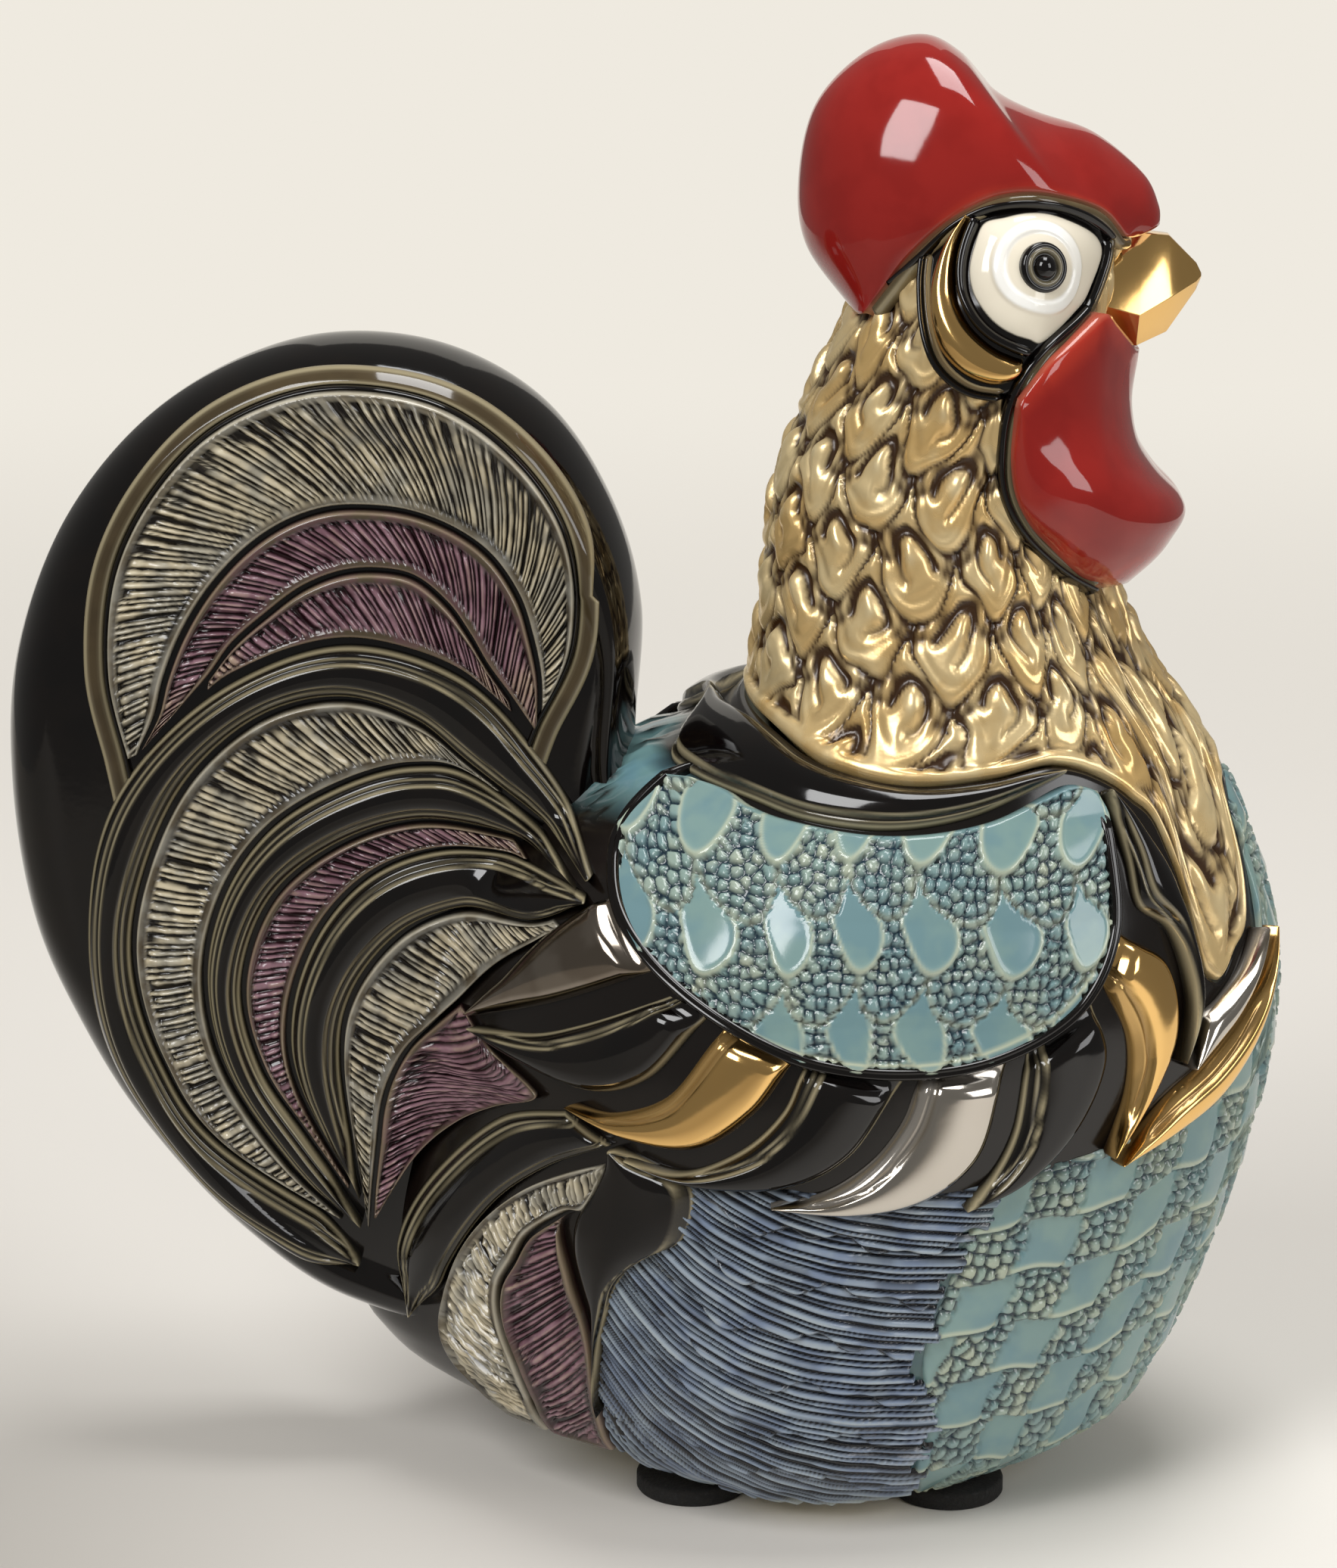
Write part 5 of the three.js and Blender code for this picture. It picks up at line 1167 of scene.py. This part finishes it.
def trim(name, corners, place, finish, nodes, shape):
    # A half-round bead that follows a line on the surface. It is moved to the left of its way by the offset,
    # along the surface: lengths of small steps turn millimetres into the surface's own places.
    shape = {**trimShape, **shape}
    curve = curveThrough(corners)
    at = np.linspace(0, 1, 300)
    length = lengthAlong(place(*curve(at).T, 0))
    even = np.linspace(0, length[-1], max(8, round(length[-1] / shape["step"])))
    u, v = curve(np.interp(even, length, at)).T
    path = place(u, v, 0)
    stepU, stepV = (place(u + 0.1, v, 0) - path) / 0.1, (place(u, v + 0.1, 0) - path) / 0.1
    longU, longV = np.linalg.norm(stepU, axis=-1), np.linalg.norm(stepV, axis=-1)
    hand = np.sign(np.einsum("ij,ij->i", np.cross(place(u, v, 1) - path, stepU), stepV))
    goU, goV = np.gradient(u) * longU, np.gradient(v) * longV
    reach = hand * np.hypot(goU, goV)
    arc = np.linspace(0, np.pi, 13)[None]
    count = np.arange(len(u))
    taper = mix(0.1, 1, np.minimum(1, np.minimum(count, count[::-1])[:, None] / shape["ends"]))
    across = -np.cos(arc) * taper
    rise = shape["base"] + (shape["height"] - shape["base"]) * np.sin(arc) ** 0.7 * taper
    rise = rise - shape["crease"] * line(across, 0.22) * taper
    left = shape["offset"] + shape["half"] * across
    leftU, leftV = -(goV / reach / longU)[:, None], (goU / reach / longV)[:, None]
    grid = place(u[:, None] + left * leftU, v[:, None] + left * leftV, rise)
    layers = {"thin": shape["thin"] * line(np.abs(across) - 0.78, 0.2), "tone": shape["tone"]}
    addBoth(name, closedSheet(grid, layers), finish, nodes)


# Each border is a brown glazed band between bare edges, with a black line beside it.
blackLine = {"height": 1.4, "step": 0.4}
brownBand = {"half": 0.8, "height": 1.2, "step": 0.4, "tone": 1.0, "thin": 0.8}
borders = [  # name, line, shape
    ("eye_back", head["eyeBack"], {**blackLine, "half": 0.65, "height": 1.9}),
    ("eye_front", head["eyeFront"], {**blackLine, "half": 0.55}),
    ("eye_side", head["eyeFront"], {**brownBand, "offset": -1.2, "half": 0.7}),
    ("cheek_line", head["cheekBelow"], {**blackLine, "height": 1.5}),
    ("cheek_band", head["cheekBelow"], {**brownBand, "half": 0.4, "offset": 0.75}),
    ("brow_line", head["brow"], {**blackLine, "height": 1.7, "offset": -0.2}),
    ("brow_band", head["combFoot"], {**brownBand, "offset": -0.75, "height": 1.5}),
    ("wattle_line", head["wattleBack"], {**blackLine, "height": 1.6}),
    ("wattle_band", head["wattleBack"], {**brownBand, "half": 0.55, "offset": 0.95, "height": 1.5}),
]


def makeFace():
    # A thin black patch round the eye, under the borders.
    radial = np.concatenate([np.linspace(0, 0.96, 40), [0.98, 0.99, 1.0]])[None]
    u, v = patchOn(neck["face"], neck["faceCentre"], radial, 220)
    patch = onBody(u, v, 0.5 - 0.9 * smoothStep(radial, 0.95, 1))
    addBoth("face_patch", closedDisc(patch, {"tone": 0.0}), "blackGlaze", ["neck_hackle"])


# A pad's profile as (radius, height above the table).
padProfile = [(0, 2.2), (6.6, 2.2), (6.9, 2.05), (7.0, 1.8), (7.0, 0.3), (6.85, 0.08), (6.6, 0.0)]


def makePads():
    # Turned discs with a softened rim.
    places = [(x, y) for x in form["padX"] for y in (-form["padY"], form["padY"])]
    for number, (x, y) in enumerate(places, 1):
        grid = turned(np.array([x, y, -form["footAbovePads"]]), np.array([0, 0, 1.0]), padProfile, 72)
        addPiece(f"felt_{number}", closedDisc(grid, {"tone": 0.0}), "blackFelt", [f"felt_pad_{number}"])


makeComb()
makeWattle()
makeBeak()
makeEye()
makePupil()
feather("cheek", head["cheekInner"], head["cheekOuter"], onBody, "goldLustre", ["cheek"],
        {"height": 2.3, "band": 0, "radius": 1.2, "step": 0.4, "columns": 20, "gap": 0.3, "crown": 1.7})
makePads()
makeFace()
trim("covert_cord", [(146, 92.5), *covert["lower"], (60, 92.3)], onFlank, "blackGlaze", ["covert"],
     {"offset": 1.0, "half": 0.95, "height": 2.5, "crease": 0.5, "ends": 9})
for name, corners, shape in borders:
    trim(name, corners, onBody, "blackGlaze", ["neck_hackle"], shape)
trim("thigh_line", [(113.4, 25), (113.4, 16), (114.4, 9), (117, 3.5)], onFlank, "blackGlaze",
     ["thigh_feather"], {"height": 0.9})
border = [(-15.5, 88), *tail["borderInner"], (-61.8, 82)]
trim("border_band", border, onFan, "blackGlaze", ["tail_fan"],
     {"offset": -1.5, "half": 1.25, "height": 0.45, "tone": 0.6, "thin": 0.7})
trim("border_line", border, onFan, "blackGlaze", ["tail_fan"], {"offset": 0.1, "half": 0.35, "height": 0.9})
print("head and pads")


# Camera, light and floor

view = {"azimuth": 2, "elevation": 15, "distance": 540, "aim": (2.5, 0, 84.9), "lens": 100, "sensor": 36}


def makeCamera():
    a, e = math.radians(view["azimuth"]), math.radians(view["elevation"])
    back = np.array([math.sin(a) * math.cos(e), -math.cos(a) * math.cos(e), math.sin(e)])
    aim = np.array(view["aim"]) + [shiftX, 0, form["footAbovePads"]]
    data = bpy.data.cameras.new("camera")
    data.lens = view["lens"]
    data.sensor_width = view["sensor"]
    data.clip_start, data.clip_end = 0.01, 20
    camera = newObject("camera", data)
    camera.location = (aim + back * view["distance"]) / 1000
    camera.rotation_euler = (math.pi / 2 - e, 0, a)
    bpy.context.scene.camera = camera


# shade is the grey of the shadow painted on the near floor.
paper = {"half": 0.4, "front": -0.33, "depth": 1.0, "bend": 0.2, "height": 1.2,   # metres
         "colour": "#EAE6DF", "second": "#E4DFD8", "shade": "#8A857D", "behind": "#EFEAE0"}


def makeFloor():
    # One sheet: a table's width of flat floor that bends up into a wall behind.
    x = np.linspace(-paper["half"], paper["half"], 21)
    bend = np.linspace(0, np.pi / 2, 13)
    radius = paper["bend"]
    arc = np.column_stack([paper["depth"] + radius * np.sin(bend), radius - radius * np.cos(bend)])
    path = np.vstack([[(paper["front"], 0), (0, 0)], arc, [(paper["depth"] + radius, paper["height"])]])
    grid = np.stack(np.broadcast_arrays(x[None], path[:, :1], path[:, 1:]), -1)
    mesh = bpy.data.meshes.new("floor")
    mesh.from_pydata(grid.reshape(-1, 3).tolist(), [], gridFaces(*grid.shape[:2]).tolist())
    mesh.polygons.foreach_set("use_smooth", np.ones(len(mesh.polygons), bool))
    floor = newObject("floor", mesh)
    material, tree = emptyMaterial("paperSweep")  # matt white paper
    where = add(tree, "TexCoord").outputs["Object"]
    noise = add(tree, "TexNoise", {"Vector": where, "Scale": 3.0})
    tone = blend(tree, noise.outputs["Fac"], linear(paper["colour"]), linear(paper["second"]))
    # Painted shadow: the side near the camera falls off to the grey shade colour, most to the left.
    nearness = add(tree, "VectorMath", {0: where, 1: (-0.75, -0.65, 0.0)}, operation="DOT_PRODUCT")
    shade = add(tree, "MapRange", {0: nearness.outputs["Value"], 1: 0.0, 2: 0.15, 3: 0.0, 4: 1.0},
                interpolation_type="SMOOTHSTEP")
    tone = blend(tree, shade.outputs[0], tone, linear(paper["shade"]))
    shader = add(tree, "BsdfPrincipled", {"Base Color": tone, "Roughness": 0.7})
    # Far behind, the paper is seen at its own plain colour, whatever the lamps do there.
    behind = add(tree, "SeparateXYZ", {0: where}).outputs["Y"]
    far = add(tree, "MapRange", {0: behind, 1: 0.12, 2: 0.8, 3: 0.0, 4: 1.0}, interpolation_type="SMOOTHSTEP")
    ray = add(tree, "LightPath").outputs
    seen = add(tree, "Math", {0: ray["Is Camera Ray"], 1: ray["Is Glossy Ray"]}, operation="MAXIMUM")
    seen = add(tree, "Math", {0: seen.outputs[0], 1: ray["Is Transmission Ray"]}, operation="MAXIMUM")
    share = add(tree, "Math", {0: seen.outputs[0], 1: far.outputs[0]}, operation="MULTIPLY")
    glow = add(tree, "Emission", {"Color": linear(paper["behind"]), "Strength": 1.0})
    both = add(tree, "MixShader", {0: share.outputs[0], 1: shader.outputs[0], 2: glow.outputs[0]})
    tree.links.new(both.outputs[0], add(tree, "OutputMaterial").inputs["Surface"])
    mesh.materials.append(material)


lamps = [  # name, place, aim, width and height in metres, watts
    ("keyLight", (-0.55, -0.75, 0.85), (0, 0, 0.09), 0.45, 0.65, 9.3),
    ("fillLight", (0.8, -0.6, 0.5), (0, 0, 0.09), 0.4, 0.6, 3.4),
    ("topLight", (0.15, 0.05, 1.1), (0, 0.05, 0.05), 0.6, 0.4, 6.5),
]
room = {"colour": "#DAD7D1", "strength": 0.28}


def makeLights():
    for name, place, aim, width, height, watts in lamps:
        data = bpy.data.lights.new(name, "AREA")
        data.shape = "RECTANGLE"
        data.size, data.size_y = width, height
        data.energy = watts
        lamp = newObject(name, data)
        back = np.array(place) - np.array(aim)
        lamp.location = place
        lamp.rotation_euler = (math.atan2(math.hypot(*back[:2]), back[2]), 0, math.atan2(back[0], -back[1]))
    world = bpy.data.worlds.new("studio")
    bpy.context.scene.world = world
    world.use_nodes = True
    background = world.node_tree.nodes["Background"]
    background.inputs["Color"].default_value = linear(room["colour"])
    background.inputs["Strength"].default_value = room["strength"]


makeCamera()
makeFloor()
makeLights()
bpy.context.scene.view_settings.view_transform = "Standard"

bpy.context.view_layer.update()
print("done")
